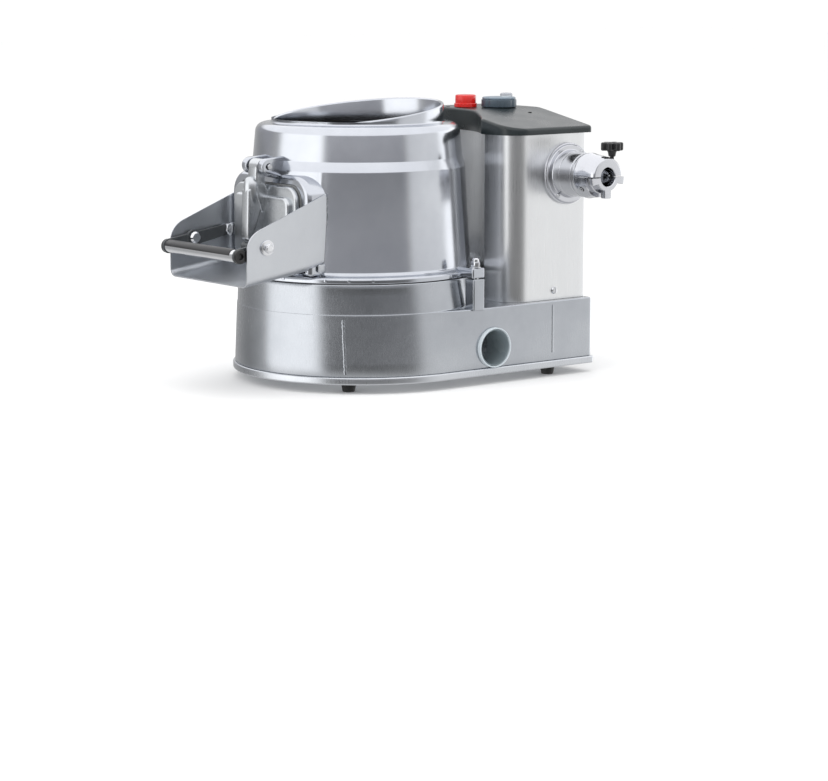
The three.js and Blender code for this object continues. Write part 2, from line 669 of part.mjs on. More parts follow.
// ---- inside ---------------------------------------------------------------------------------
function turntable() {
  const profile = [[10.5, 168], [32, 168], [36, 174], [146, 174], [148, 177], [148, 181], [120, 181],
    [96, 184], [70, 181], [36, 181], [30, 186], [10.5, 186], [10.5, 168]];
  return turned(profile, 48);
}
function abrasiveDisc() {
  const disc = turned(ring(40, 141, 184.4, 187), 48);
  const wave = [0, 1, 2].map((k) =>
    box(50, 134, -7, 7, 186.5, 192).rotate([0, 0, 120 * k]));
  return join(disc, ...wave);
}
function mainShaft() {
  return turned([[0, 56], [9.4, 56], [9.4, 186.4], [16, 186.8], [16, 190], [9, 196], [0, 196]], 28);
}
function shaftBearing(z) {
  return turned(ring(9.9, 18.7, z, z + 12), 28);
}
function shaftSeal() {
  return turned([[9.9, 122.3], [26, 122.3], [26, 124], [15, 133], [9.9, 133], [9.9, 122.3]], 28);
}
function pulley(radius, bore, half) {
  return turned([[bore, -half], [radius + 2, -half], [radius + 2, -half + 2], [radius - 4, -3],
    [radius - 4, 3], [radius + 2, half - 2], [radius + 2, half], [bore, half], [bore, -half]], 40);
}
// Open belt round both pulleys: outer and inner loops of arcs and straight runs.
function belt() {
  const distance = Math.hypot(motorAxis.x, motorAxis.y);
  const loop = (big, small) => {
    const lean = Math.asin((big - small) / distance);
    const path = new THREE.Shape();
    path.absarc(0, 0, big, Math.PI / 2 - lean, -Math.PI / 2 + lean, false);
    path.absarc(distance, 0, small, -Math.PI / 2 + lean, Math.PI / 2 - lean, false);
    return path;
  };
  const section = loop(bigPulley + 5.5, smallPulley + 5.5);
  section.holes.push(new THREE.Path(loop(bigPulley + 2.5, smallPulley + 2.5).getPoints(8)));
  const heading = (Math.atan2(motorAxis.y, motorAxis.x) * 180) / Math.PI;
  return extrude(section, beltZ - 6, beltZ + 6, undefined, 8).rotate([0, 0, heading]);
}
function motor() {
  const radius = 49;
  const body = turned([[11, 117.2], [radius, 117.2], [radius, 124], [radius - 4, 127],
    [radius - 4, 262], [radius - 7, 274], [22, 278], [11, 278], [11, 117.2]], 36);
  const fins = [45, 135, 225, 315].map((degrees) =>
    box(radius - 6, radius, -1.5, 1.5, 130, 258).rotate([0, 0, degrees]));
  return join(body, ...fins).translate([motorAxis.x, motorAxis.y, 0]);
}
function motorShaft() {
  const shaft = turned([[0, 58], [7, 58], [7, 292], [5.5, 294], [5.5, 326], [0, 326]], 24);
  const hub = pulley(smallPulley, 6.5, 9).translate([0, 0, beltZ]);
  const worm = turned([[0, 296], [6.8, 296], [6.8, 323], [0, 323]], 24);
  return join(shaft, hub, worm).translate([motorAxis.x, motorAxis.y, 0]);
}
function driveShaft() {
  const wheelX = motorAxis.x;
  const shaft = turnedX([[0, wheelX - 10], [8, wheelX - 10], [8, wheelX + 20], [11.7, wheelX + 22],
    [11.7, 240], [10.5, 241.5], [0, 241.5]], drive.y, drive.z, 28);
  const wheel = turnedX(rod(10.4, wheelX - 6, wheelX + 6), drive.y, drive.z, 24);
  const key = box(226, 250, drive.y - 4.5, drive.y + 4.5, drive.z - 4.5, drive.z + 4.5);
  return cut(join(shaft, wheel), key);
}
function driveBearing() {
  return turnedX(ring(12.3, 15.7, 205, 219), drive.y, drive.z, 28);
}
function cableGland() {
  const profile = [[0, 284], [8.8, 284], [8.8, columnRearY + 0.3], [13, columnRearY + 0.3],
    [13, columnRearY + 4], [10, columnRearY + 6], [8, glandEndY], [0, glandEndY]];
  return turned(profile, 20).rotate([-90, 0, 0]).translate([120, 0, 140]);
}

// ---- assembly -------------------------------------------------------------------------------
add("base_pan", basePan(), sheetSteel);
add("base_casing", baseCasing(), castAluminium);
const feet = { front_r: [121, -109], front_l: [-121, -109], rear_r: [172, 236], rear_l: [-172, 236] };
for (const [place, [x, y]] of Object.entries(feet)) {
  add(`foot_${place}`, foot().translate([x, y, 0]), blackRubber);
}
add("drain_pipe", drainPipe(), palePlastic);
add("drum", drum(), castAluminium);
add("drum_seal", drumSeal(), blackRubber);
add("abrasive_liner", abrasiveLiner(), grit);
add("drum_bolt_r", drumBolt().translate([190, 77, 0]), brightSteel);
add("drum_bolt_l", drumBolt().translate([-190, 77, 0]), brightSteel);
add("chute", chute(), sheetSteel);
add("pivot_bolt_r", pivotBolt(), brightSteel);
add("pivot_bolt_l", pivotBolt().mirror([1, 0, 0]), brightSteel);
add("latch_arm_r", latchArm(1), darkPlate);
add("latch_arm_l", latchArm(-1), darkPlate);
add("latch_tube", latchTube(), satinSteel);
add("latch_cap_r", latchCap(), blackPlastic);
add("latch_cap_l", latchCap().mirror([1, 0, 0]), blackPlastic);
add("latch_nut_r", latchNut(), brightSteel);
add("latch_nut_l", latchNut().mirror([1, 0, 0]), brightSteel);
add("latch_stud", latchStud(), darkPlate);
add("door", door(), castAluminium);
add("door_catch", doorCatch(), darkPlate);
add("door_seal", doorSeal(), blackRubber);
add("hinge_pin", hingePin(), satinSteel);
add("column", column(), sheetSteel);
add("column_screw_r", columnScrew(), brightSteel);
add("column_screw_l", columnScrew().mirror([1, 0, 0]), brightSteel);
add("cover", cover(), slatePlastic);
add("stop_collar", stopCollar(), redPlastic);
add("stop_button", stopButton(), redPlastic);
add("timer_knob", timerKnob(), slateBluePlastic);
add("start_collar", startCollar(), blackPlastic);
add("start_button", startButton(), clearPlastic);
add("drive_housing", driveHousing(), brightSteel);
screwSpots().forEach((spot, k) => add(`housing_screw_${k + 1}`, housingScrew(spot), satinSteel));
add("drive_socket", driveSocket(), brightSteel);
add("socket_lugs", socketLugs(), brightSteel);
add("set_screw", setScrew(), satinSteel);
add("clamp_knob", clampKnob(), blackPlastic);
add("drive_shaft", driveShaft(), satinSteel);
add("drive_bearing", driveBearing(), brass);
add("turntable", turntable(), castAluminium);
add("abrasive_disc", abrasiveDisc(), grit);
add("main_shaft", mainShaft(), satinSteel);
add("bearing_low", shaftBearing(80), brightSteel);
add("bearing_high", shaftBearing(106), brightSteel);
add("shaft_seal", shaftSeal(), blackRubber);
add("belt_pulley", pulley(bigPulley, 9.9, 9).translate([0, 0, beltZ]), castAluminium);
add("belt", belt(), blackRubber);
add("motor", motor(), motorPaint);
add("motor_shaft", motorShaft(), satinSteel);
add("cable_gland", cableGland(), blackPlastic);

const bounds = new THREE.Box3().setFromObject(group);
const middle = bounds.getCenter(new THREE.Vector3());
group.position.set(-middle.x, -middle.y, 0);

export default group;
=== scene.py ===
"""Looks of a countertop drum peeler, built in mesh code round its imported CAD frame."""
from math import acos, atan2, cos, exp, hypot, pi, radians, sin, sqrt, tan

import bmesh
import bpy
from mathutils import Matrix, Vector, noise


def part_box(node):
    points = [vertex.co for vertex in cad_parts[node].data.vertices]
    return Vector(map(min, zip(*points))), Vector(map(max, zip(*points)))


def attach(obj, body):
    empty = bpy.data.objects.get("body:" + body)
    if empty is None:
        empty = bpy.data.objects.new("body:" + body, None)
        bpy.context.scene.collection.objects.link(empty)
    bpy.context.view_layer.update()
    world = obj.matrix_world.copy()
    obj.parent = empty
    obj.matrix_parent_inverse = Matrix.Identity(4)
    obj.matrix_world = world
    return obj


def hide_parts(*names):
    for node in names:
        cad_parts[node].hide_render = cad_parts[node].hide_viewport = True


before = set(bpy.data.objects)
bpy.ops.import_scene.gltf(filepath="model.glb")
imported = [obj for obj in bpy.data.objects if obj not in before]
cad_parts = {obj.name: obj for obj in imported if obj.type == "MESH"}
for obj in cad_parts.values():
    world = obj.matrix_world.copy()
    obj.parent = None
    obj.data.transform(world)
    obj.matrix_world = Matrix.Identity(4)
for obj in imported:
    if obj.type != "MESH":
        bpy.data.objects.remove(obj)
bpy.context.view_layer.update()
MM = 0.001

# ---- sizes, in millimetres, from the frame ----

shaft_low, shaft_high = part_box("main_shaft")
drum_axis = (shaft_low + shaft_high) / 2
drum_axis.z = 0


def span(node):
    """A node's box in millimetres, measured from the foot of the drum's axis."""
    low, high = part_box(node)
    return [v / MM for v in low - drum_axis], [v / MM for v in high - drum_axis]


def middle(node):
    """Centre of a node's box, measured the same way."""
    return [(a + b) / 2 for a, b in zip(*span(node))]


pan_low, pan_high = span("base_pan")
column_low, column_high = span("column")
cover_low, cover_high = span("cover")

# base: half a circle round base_front, straight sides, and a tub standing up in front
base_half = pan_high[0]
base_rear = pan_high[1]
base_front = 9.0
casing_half = base_half - 3
casing_rear = span("base_casing")[1][1]
pan_bottom = pan_low[2]
rim_top = pan_high[2]
tub_top = 161.5
tub_radius = 184.0
tub_inner = 177.0
floor_top = 122.0
deck_top = 116.5
side_start = 90.0
bolt_x, bolt_y = 190.0, 77.0
drain = (100.0, 107.0, 55.5)
drain_radius = 30.4

# drum: radii and heights from its flange to its neck
flange_top = 171.0
drum_foot = 171.0
drum_waist = 163.5
drum_upper = 158.5
drum_wall = 5.5
ledge = 331.0
shoulder = 388.5
neck_radius = 131.0
neck_wall = 5.0
neck_mid = 405.5
neck_slope = 0.12

# door boss, latch and chute; hinge, pivot, bail and chute ends are (y, z)
boss_half = 98.5
boss_face = -165.0
boss_top = 319.0
hinge = (-184.0, 331.0)
pivot = (-241.0, 221.0)
bail = (-284.0, 210.5)
bail_end = (-176.0, 230.0)
arm_x = 90.0
arm_outer = arm_x + 4.0
tube_end = span("latch_tube")[1][0]
chute_outer = 101.3
chute_front = (-276.0, 164.0)
chute_rear = (-134.0, 184.5)

# motor column, cover and accessory drive, whose axis is (y, z)
column_half = column_high[0]
column_rear = column_high[1]
column_front = 151.0
column_corner = 33.0
recess = 193.5
drive = (260.5, 309.5)
cover_top = 404.0

# ---- shapes ----


class Shape:
    """Vertices and faces, in millimetres."""

    def __init__(self, verts, faces):
        self.verts = [Vector(v) for v in verts]
        self.faces = [tuple(f) for f in faces]

    def __add__(self, other):
        n = len(self.verts)
        shifted = [tuple(i + n for i in f) for f in other.faces]
        return Shape(self.verts + other.verts, self.faces + shifted)

    def moved(self, x=0.0, y=0.0, z=0.0):
        return Shape([v + Vector((x, y, z)) for v in self.verts], self.faces)

    def turned(self, axis, degrees, about=(0, 0, 0)):
        rotation = Matrix.Rotation(radians(degrees), 3, axis)
        centre = Vector(about)
        return Shape([rotation @ (v - centre) + centre for v in self.verts], self.faces)

    def mirrored(self):
        return Shape([(-v.x, v.y, v.z) for v in self.verts], [f[::-1] for f in self.faces])


def skin(rows, wrap=False, caps=True):
    """Quads between closed loops of the same length."""
    count = len(rows[0])
    verts = [v for row in rows for v in row]
    faces = []
    last = len(rows) if wrap else len(rows) - 1
    for i in range(last):
        a, b = i * count, ((i + 1) % len(rows)) * count
        for j in range(count):
            k = (j + 1) % count
            faces.append((a + j, a + k, b + k, b + j))
    if caps and not wrap:
        faces.append(tuple(range(count))[::-1])
        faces.append(tuple(range((len(rows) - 1) * count, len(rows) * count)))
    return Shape(verts, faces)


def turns(count):
    """Angles of a full circle in equal steps."""
    return [2 * pi * k / count for k in range(count)]


def arc(cx, cy, radius, start, stop, steps):
    angles = [radians(start + (stop - start) * i / steps) for i in range(steps + 1)]
    return [(cx + radius * cos(a), cy + radius * sin(a)) for a in angles]


def curve(first, pull, last, steps):
    """Soft bend from first to last, drawn towards pull."""
    points = []
    for k in range(steps + 1):
        t = k / steps
        shares = ((1 - t) ** 2, 2 * t * (1 - t), t * t)
        points.append(tuple(sum(s * p[i] for s, p in zip(shares, (first, pull, last))) for i in (0, 1)))
    return points


def subdivided(loop, spacing):
    """Closed loop with its long stretches cut into steps of about the spacing."""
    filled = []
    for a, b in zip(loop, loop[1:] + loop[:1]):
        a, b = Vector(a), Vector(b)
        steps = max(1, int((b - a).length / spacing))
        filled += [tuple(a.lerp(b, k / steps)) for k in range(steps)]
    return filled


def rounded(points, radii, closed=True, steps=5):
    """Polyline whose corners become arcs."""
    if not isinstance(radii, (list, tuple)):
        radii = [radii] * len(points)
    out = []
    for i, (point, radius) in enumerate(zip(points, radii)):
        if radius <= 0 or (not closed and i in (0, len(points) - 1)):
            out.append(tuple(point))
            continue
        before = Vector(points[i - 1])
        here = Vector(point)
        after = Vector(points[(i + 1) % len(points)])
        u, v = (before - here).normalized(), (after - here).normalized()
        angle = u.angle(v)
        if pi - angle < 0.002:
            out.append(tuple(point))
            continue
        shorter = min((before - here).length, (after - here).length)
        reach = min(radius / tan(angle / 2), 0.49 * shorter)
        radius = reach * tan(angle / 2)
        centre = here + (u + v).normalized() * (radius / sin(angle / 2))
        first, final = here + u * reach, here + v * reach
        a0 = atan2(first.y - centre.y, first.x - centre.x)
        a1 = atan2(final.y - centre.y, final.x - centre.x)
        sweep = (a1 - a0 + pi) % (2 * pi) - pi
        for k in range(steps + 1):
            a = a0 + sweep * k / steps
            out.append((centre.x + radius * cos(a), centre.y + radius * sin(a)))
    return out


def lay(u, v, h, axis):
    """Point at u, v across an axis and h along it."""
    return {"Z": (u, v, h), "X": (h, u, v), "Y": (u, h, v)}[axis]


def lathe(profile, axis="Z", centre=(0, 0), count=96, wrap=False, base=0.0):
    """Profile of (radius, height above base) points turned about an axis through centre."""
    rows = []
    for radius, height in profile:
        ring = [(centre[0] + radius * cos(a), centre[1] + radius * sin(a)) for a in turns(count)]
        rows.append([lay(u, v, base + height, axis) for u, v in ring])
    return skin(rows, wrap)


def rod(radius, low, high, axis="Z", centre=(0, 0), count=48):
    """Plain cylinder."""
    return lathe([(0, low), (radius, low), (radius, high), (0, high)], axis, centre, count)


def offset_loop(loop, distance):
    """Closed loop moved inwards by distance."""
    area = sum(a[0] * b[1] - b[0] * a[1] for a, b in zip(loop, loop[1:] + loop[:1]))
    side = 1 if area > 0 else -1
    out = []
    for i, here in enumerate(loop):
        before, after = Vector(loop[i - 1]), Vector(loop[(i + 1) % len(loop)])
        here = Vector(here)
        u = here - before
        v = after - here
        if u.length < 1e-6 or v.length < 1e-6:
            u = v = after - before
        u.normalize()
        v.normalize()
        n = (Vector((-u.y, u.x)) + Vector((-v.y, v.x))) * side
        if n.length < 1e-6:
            n = Vector((-u.y, u.x)) * side
        n.normalize()
        stretch = max(0.5, n.dot(Vector((-u.y, u.x)) * side))
        out.append(tuple(here + n * (distance / stretch)))
    return out


def plate(loop, low, high, edge=0.5, axis="Z", steps=3):
    """Loop pushed from low to high, with its edges rounded."""
    edge = min(edge, 0.49 * (high - low))
    rows = []
    quarter = [pi / 2 * k / steps for k in range(steps + 1)]
    for t in quarter:
        rows.append((edge * (1 - sin(t)), low + edge * (1 - cos(t))))
    for t in reversed(quarter):
        rows.append((edge * (1 - sin(t)), high - edge * (1 - cos(t))))
    return skin([[lay(u, v, h, axis) for u, v in offset_loop(loop, inset)] for inset, h in rows])


def rounded_box(u0, u1, v0, v1, radius, steps=8):
    return rounded([(u0, v0), (u1, v0), (u1, v1), (u0, v1)], radius, steps=steps)


def block(x0, x1, y0, y1, z0, z1, corner=2.0, edge=1.0, axis="Z"):
    """Rounded block: the loop lies across the axis."""
    spans = {"Z": (x0, x1, y0, y1, z0, z1), "X": (y0, y1, z0, z1, x0, x1), "Y": (x0, x1, z0, z1, y0, y1)}
    u0, u1, v0, v1, low, high = spans[axis]
    return plate(rounded_box(u0, u1, v0, v1, corner, 5), low, high, edge, axis)


def hexagon(flats, centre=(0, 0), turn=0):
    return rounded(arc(*centre, flats / sqrt(3), turn, turn + 300, 5), 0.5, steps=2)


def placed(name, data):
    """New object in the scene."""
    thing = bpy.data.objects.new(name, data)
    bpy.context.scene.collection.objects.link(thing)
    return thing


def as_object(shape, name="scratch"):
    """Mesh object of a shape, with doubled points joined and its faces turned outwards."""
    mesh = bpy.data.meshes.new(name)
    mesh.from_pydata([v * MM for v in shape.verts], [], shape.faces)
    mesh.validate()
    joined = bmesh.new()
    joined.from_mesh(mesh)
    bmesh.ops.remove_doubles(joined, verts=joined.verts, dist=2e-6)
    bmesh.ops.dissolve_degenerate(joined, edges=joined.edges, dist=1e-7)
    bmesh.ops.recalc_face_normals(joined, faces=joined.faces)
    joined.to_mesh(mesh)
    joined.free()
    return placed(name, mesh)


def combine(first, second, how="DIFFERENCE"):
    """Boolean of two closed shapes."""
    a, b = as_object(first), as_object(second)
    change = a.modifiers.new("change", "BOOLEAN")
    change.operation = how
    change.solver = "MANIFOLD"
    change.object = b
    made = a.evaluated_get(bpy.context.evaluated_depsgraph_get()).to_mesh()
    result = Shape([v.co / MM for v in made.vertices], [tuple(p.vertices) for p in made.polygons])
    for thing in (a, b):
        bpy.data.objects.remove(thing)
    return result


def finish(name, shape, material, node=None, body="machine", smooth=32):
    """Turns a shape into a piece that rides on a body; node is the CAD node it stands for."""
    thing = as_object(shape, name)
    thing.data.transform(Matrix.Translation(drum_axis))
    thing.data.materials.append(material)
    thing.data.shade_smooth()
    thing.data.set_sharp_from_angle(angle=radians(smooth))
    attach(thing, body)
    if node:
        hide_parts(node)
    return thing


def pair(name, shape, material, node, body="machine"):
    """A piece on the right and its mirror image on the left."""
    finish(name + "_r", shape, material, node + "_r", body)
    finish(name + "_l", shape.mirrored(), material, node + "_l", body)

# ---- materials ----


class Nodes:
    """Short names for building one node tree; most methods give back the socket to read."""

    def __init__(self, tree):
        self.tree = tree
        tree.nodes.clear()
        self.place = self.add("TexCoord").outputs

    def fill(self, node, inputs):
        """Gives a node's inputs numbers, colours or the sockets that they read."""
        for socket, value in inputs.items():
            if isinstance(value, bpy.types.NodeSocket):
                self.tree.links.new(value, node.inputs[socket])
            else:
                node.inputs[socket].default_value = value
        return node

    def add(self, kind, inputs=None, **settings):
        node = self.tree.nodes.new("ShaderNode" + kind)
        for key, value in settings.items():
            setattr(node, key, value)
        return self.fill(node, inputs or {})

    def noise(self, scale, detail, stretch=(1, 1, 1)):
        """Noise over object coordinates in metres, scaled along each axis."""
        spot = self.add("Mapping", {"Vector": self.place["Object"], "Scale": stretch})
        inputs = {"Vector": spot.outputs["Vector"], "Scale": scale, "Detail": detail, "Roughness": 0.55}
        return self.add("TexNoise", inputs).outputs["Fac"]

    def fit(self, source, low, high, start=0.3, stop=0.7, **settings):
        """Runs from low to high while the source runs from start to stop."""
        inputs = {"Value": source, "From Min": start, "From Max": stop, "To Min": low, "To Max": high}
        return self.add("MapRange", inputs, **settings).outputs["Result"]

    def blend(self, factor, first, second, how="MIX"):
        inputs = {"Factor": factor, "A": first, "B": second}
        return self.add("Mix", inputs, data_type="RGBA", blend_type=how).outputs["Result"]

    def maths(self, operation, first, second):
        return self.add("Math", {0: first, 1: second}, operation=operation).outputs[0]

    def bump(self, source, strength, micrometres, before=None):
        inputs = {"Height": source, "Strength": strength, "Distance": micrometres * 1e-6}
        if before is not None:
            inputs["Normal"] = before
        return self.add("Bump", inputs).outputs["Normal"]


class Looks(Nodes):
    """Node tree of a material with one principled shader."""

    def __init__(self, name):
        self.material = bpy.data.materials.new(name)
        self.material.use_nodes = True
        super().__init__(self.material.node_tree)
        self.shader = self.add("BsdfPrincipled")
        self.add("OutputMaterial", {"Surface": self.shader.outputs["BSDF"]})


def metal(name, dark, light, rough=(0.25, 0.4), stretch=(1, 1, 0.05), grain=0.3, grit=0.0, brushed=0.0):
    """Bare metal: clouded colour and gloss, fine drawn grain and cast grit (depths in micrometres)."""
    n = Looks(name)
    clouds = n.noise(9, 5)
    streaks = n.noise(1500, 3, stretch)
    normal = n.bump(streaks, 0.3, grain)
    if grit:
        normal = n.bump(n.noise(900, 2), 0.3, grit, normal)
    n.fill(n.shader, {
        "Base Color": n.blend(n.fit(clouds, 0, 1), (*dark, 1), (*light, 1)),
        "Roughness": n.maths("ADD", n.fit(clouds, *rough), n.fit(streaks, -0.05, 0.05)),
        "Metallic": 1.0,
        "Normal": normal,
    })
    if brushed:
        around = n.add("Tangent", direction_type="RADIAL", axis="Z").outputs["Tangent"]
        n.fill(n.shader, {"Anisotropic": brushed, "Tangent": around})
    return n.material


def plastic(name, colour, rough=0.4, depth=30, scale=1500, shift=0.12, coat=0.0):
    """Moulded plastic or rubber: spark-eroded texture (depth in micrometres), slight colour variation."""
    n = Looks(name)
    clouds = n.noise(30, 3)
    paler = [min(1, c * (1 + shift) + 0.004) for c in colour]
    deeper = [c * (1 - shift) for c in colour]
    n.fill(n.shader, {
        "Base Color": n.blend(n.fit(clouds, 0, 1), (*deeper, 1), (*paler, 1)),
        "Roughness": n.fit(clouds, rough * 0.85, rough * 1.15),
        "Normal": n.bump(n.noise(scale, 2), 0.5, depth),
        "Coat Weight": coat,
    })
    return n.material


along_grain = (1, 1, 0.05)
turned_grain = (0.05, 1, 1)
no_grain = (1, 1, 1)
cast = metal("cast_aluminium", (0.40, 0.42, 0.45), (0.50, 0.52, 0.55), (0.2, 0.27), along_grain, 1, 1)
drum_metal = metal("drum_aluminium", (0.47, 0.49, 0.53), (0.58, 0.60, 0.64), (0.13, 0.19), no_grain, 2.5, 5)
door_metal = metal("door_aluminium", (0.54, 0.56, 0.58), (0.66, 0.68, 0.70), (0.26, 0.38), no_grain, 2, 4)
fine_grain = (1, 1, 0.01)
sheet = metal("brushed_sheet", (0.76, 0.77, 0.78), (0.81, 0.82, 0.83), (0.3, 0.33), fine_grain, 0.2, 0, 0.6)
chute_sheet = metal("chute_sheet", (0.56, 0.58, 0.61), (0.64, 0.66, 0.69), (0.3, 0.38), along_grain, 1)
pan_metal = metal("pan_sheet", (0.50, 0.52, 0.55), (0.62, 0.64, 0.67), (0.24, 0.34), along_grain, 1)
satin = metal("satin_steel", (0.46, 0.47, 0.49), (0.60, 0.61, 0.63), (0.18, 0.28), turned_grain, 2)
bright = metal("bright_steel", (0.62, 0.63, 0.65), (0.76, 0.77, 0.79), (0.08, 0.15), no_grain, 1)
hub_metal = metal("machined_hub", (0.52, 0.53, 0.56), (0.64, 0.65, 0.68), (0.13, 0.18), turned_grain, 1)
brass = metal("bearing_bronze", (0.5, 0.33, 0.14), (0.66, 0.46, 0.22), (0.25, 0.4))
dark_plate = plastic("dark_plate", (0.05, 0.055, 0.06), 0.35, 30, 900)
slate = plastic("slate_plastic", (0.009, 0.015, 0.017), 0.3, 10, 1300, coat=0.05)
black = plastic("black_plastic", (0.008, 0.008, 0.009), 0.35, 30, 1300)
grey_rubber = plastic("grey_rubber", (0.16, 0.165, 0.17), 0.6, 40, 700)
# painted shade: a darker plastic that stands in for the shade inside the drain pipe
painted_shade_plastic = plastic("painted_shade_plastic", (0.2, 0.24, 0.26), 0.25, 10, 900, 0.05)
rubber = plastic("black_rubber", (0.008, 0.008, 0.008), 0.7, 80, 700)
pale = plastic("pale_plastic", (0.6, 0.66, 0.7), 0.3, 20, 900, 0.04)
red = plastic("red_plastic", (0.72, 0.012, 0.008), 0.28, 10, 900, 0.06, 0.3)
slate_blue = plastic("slate_blue_plastic", (0.06, 0.085, 0.11), 0.35, 10, 900, 0.08)
knob_edge = plastic("knob_edge", (0.17, 0.22, 0.27), 0.35, 10, 900, 0.08)
clear_cap = plastic("clear_cap", (0.42, 0.44, 0.48), 0.15, 10, 900, 0.04)
pink_core = plastic("pink_core", (0.75, 0.22, 0.34), 0.3, 10, 900, 0.05)
grit = plastic("abrasive_grit", (0.05, 0.047, 0.043), 0.85, 800, 420, 0.5)
motor_paint = plastic("motor_paint", (0.09, 0.11, 0.14), 0.4, 50, 500)

# ---- base ----


def base_outline(half, rear):
    """Half circle in front, straight sides, square back with small rounded corners."""
    front = arc(0, base_front, half, 180, 360, 120)
    corners = rounded([(half, base_front), (half, rear), (-half, rear), (-half, base_front)], [0, 5, 5, 0])
    return subdivided(front + corners[1:-1], 7)


def tub_circle(z):
    """Centre y and radius of the tub's wall at a height."""
    share = (tub_top - z) / (tub_top - rim_top)
    return base_front * share, tub_radius + (casing_half - tub_radius) * share


def along_ray(direction, centre_y, radius):
    """Distance from the base's centre to a circle on the Y axis."""
    gap = base_front - centre_y
    b = direction.y * gap
    return -b + sqrt(max(0.0, b * b - gap * gap + radius * radius))


def wall_distance(ray, reach, z):
    """Distance to the casing's wall, whose straight sides run in a tangent onto the tub."""
    centre_y, radius = tub_circle(z)
    distance = along_ray(ray, centre_y, radius)
    hit = Vector((abs(ray.x) * distance, base_front + ray.y * distance - centre_y))
    corner = Vector((casing_half, side_start - centre_y))
    tangent = atan2(corner.y, corner.x) - acos(radius / corner.length)
    if atan2(hit.y, hit.x) <= tangent:
        return distance
    outward = Vector((cos(tangent), sin(tangent)))
    along = outward.x * abs(ray.x) + outward.y * ray.y
    if along <= 0.01:
        return reach
    return min(reach, (radius - outward.y * (base_front - centre_y)) / along)


def softened(points, rounds=3):
    """Corner cutting that keeps both ends."""
    for _ in range(rounds):
        out = [points[0]]
        for a, b in zip(points, points[1:]):
            out.append(a.lerp(b, 0.25))
            out.append(a.lerp(b, 0.75))
        out.append(points[-1])
        points = out
    return points


def casing_shape():
    """Base body: the tub's inside and rim, its flaring wall, the deck behind it and the outer wall."""
    ledge_width, soft = 0.8, 6.0
    columns = []
    for x, y in base_outline(casing_half, casing_rear):
        ray = Vector((x, y - base_front))
        reach = ray.length
        ray.normalize()
        inner = along_ray(ray, 0, tub_inner)
        top = along_ray(ray, 0, tub_radius)
        points = [(inner, floor_top), (inner, tub_top - 1), (inner + 1, tub_top), (top - 1.6, tub_top),
                  (top - 0.5, tub_top - 0.5), (top, tub_top - 1.6)]
        above = deck_top + soft
        for share in (0.15, 0.4, 0.7):
            level = tub_top - 2 + (above - tub_top + 2) * share
            points.append((along_ray(ray, *tub_circle(level)) - ledge_width, level))
        tub_wall = along_ray(ray, *tub_circle(deck_top)) - ledge_width
        edge = wall_distance(ray, reach, deck_top)
        inward = min(soft, (edge - tub_wall) / 2)
        bend = [Vector((along_ray(ray, *tub_circle(above)) - ledge_width, above)),
                Vector((tub_wall, deck_top)), Vector((edge - inward, deck_top)), Vector((edge, deck_top)),
                Vector((wall_distance(ray, reach, deck_top - soft), deck_top - soft))]
        points += [tuple(p) for p in softened(bend)]
        for level in (deck_top - 25, deck_top - 50, rim_top + 20, rim_top + 1.2):
            points.append((wall_distance(ray, reach, level), level))
        foot_wall = wall_distance(ray, reach, rim_top)
        points += [(foot_wall - 0.4, rim_top + 0.5), (foot_wall - 1.4, rim_top + 0.3)]
        columns.append([(ray.x * d, base_front + ray.y * d, h) for d, h in points])
    return skin([list(row) for row in zip(*columns)])


def seam(shape, angle, centre, low, high, width=1.6, height=0.45, strength=0.5):
    """Raises a rough bead up a wall at an angle round a vertical axis."""
    spot = radians(angle)
    for v in shape.verts:
        if not low < v.z < high:
            continue
        dx, dy = v.x, v.y - centre
        radius = hypot(dx, dy)
        away = (atan2(dy, dx) - spot + pi) % (2 * pi) - pi
        across = away * radius
        if abs(across) < 4 * width:
            fade = min(1, (v.z - low) / 6, (high - v.z) / 6)
            lump = 1 + strength * noise.noise(Vector((across * 0.3, 0, v.z * 0.35)))
            rise = height * fade * lump * exp(-(across / width) ** 2)
            v.x += dx / radius * rise
            v.y += dy / radius * rise
    return shape


pan_loop = base_outline(base_half, base_rear)
finish("base_pan_rim", plate(pan_loop, pan_bottom, rim_top, 2.2, steps=5), pan_metal, "base_pan")

casing = casing_shape()
casing = combine(casing, rod(drain_radius + 0.4, 150, 230, "X", drain[1:], 72))
for x0, x1 in ((-199, -178), (178, 199)):
    casing += block(x0, x1, bolt_y - 11, bolt_y + 11, deck_top - 3, tub_top - 0.6, 2.5, 1.2)
finish("base_body", casing, cast, "base_casing", smooth=40)


def rough_strip(spots, along_x, along_y, width, rise):
    """Uneven upright weld lying on a wall; along_x and along_y give the wall's direction in plan."""
    rows = []
    for x, y, z in spots:
        lump = 1 + 0.5 * noise.noise(Vector((x, 0, z * 0.5)))
        drift = 0.6 * noise.noise(Vector((0, x, z * 0.25)))
        row = []
        for a in turns(16):
            across, out = width * lump * cos(a) + drift, rise * lump * sin(a)
            row.append((x + along_x * across + along_y * out, y + along_y * across - along_x * out, z))
        rows.append(row)
    return skin(rows)


weld_angle = radians(-44.6)
weld_step = 1.8
tub_spots = []
for k in range(46):
    z = rim_top + 4 + weld_step * k
    centre_y, radius = tub_circle(z)
    tub_spots.append((radius * cos(weld_angle), centre_y + radius * sin(weld_angle), z))
tub_weld = rough_strip(tub_spots, -sin(weld_angle), cos(weld_angle), 2.2, 0.7)
finish("tub_weld", tub_weld, cast, smooth=60)
side_spots = [(casing_half, 225, rim_top + 12 + weld_step * k) for k in range(42)]
side_weld = rough_strip(side_spots, 0, 1, 2.2, 0.6)
finish("side_weld", side_weld, cast, smooth=60)

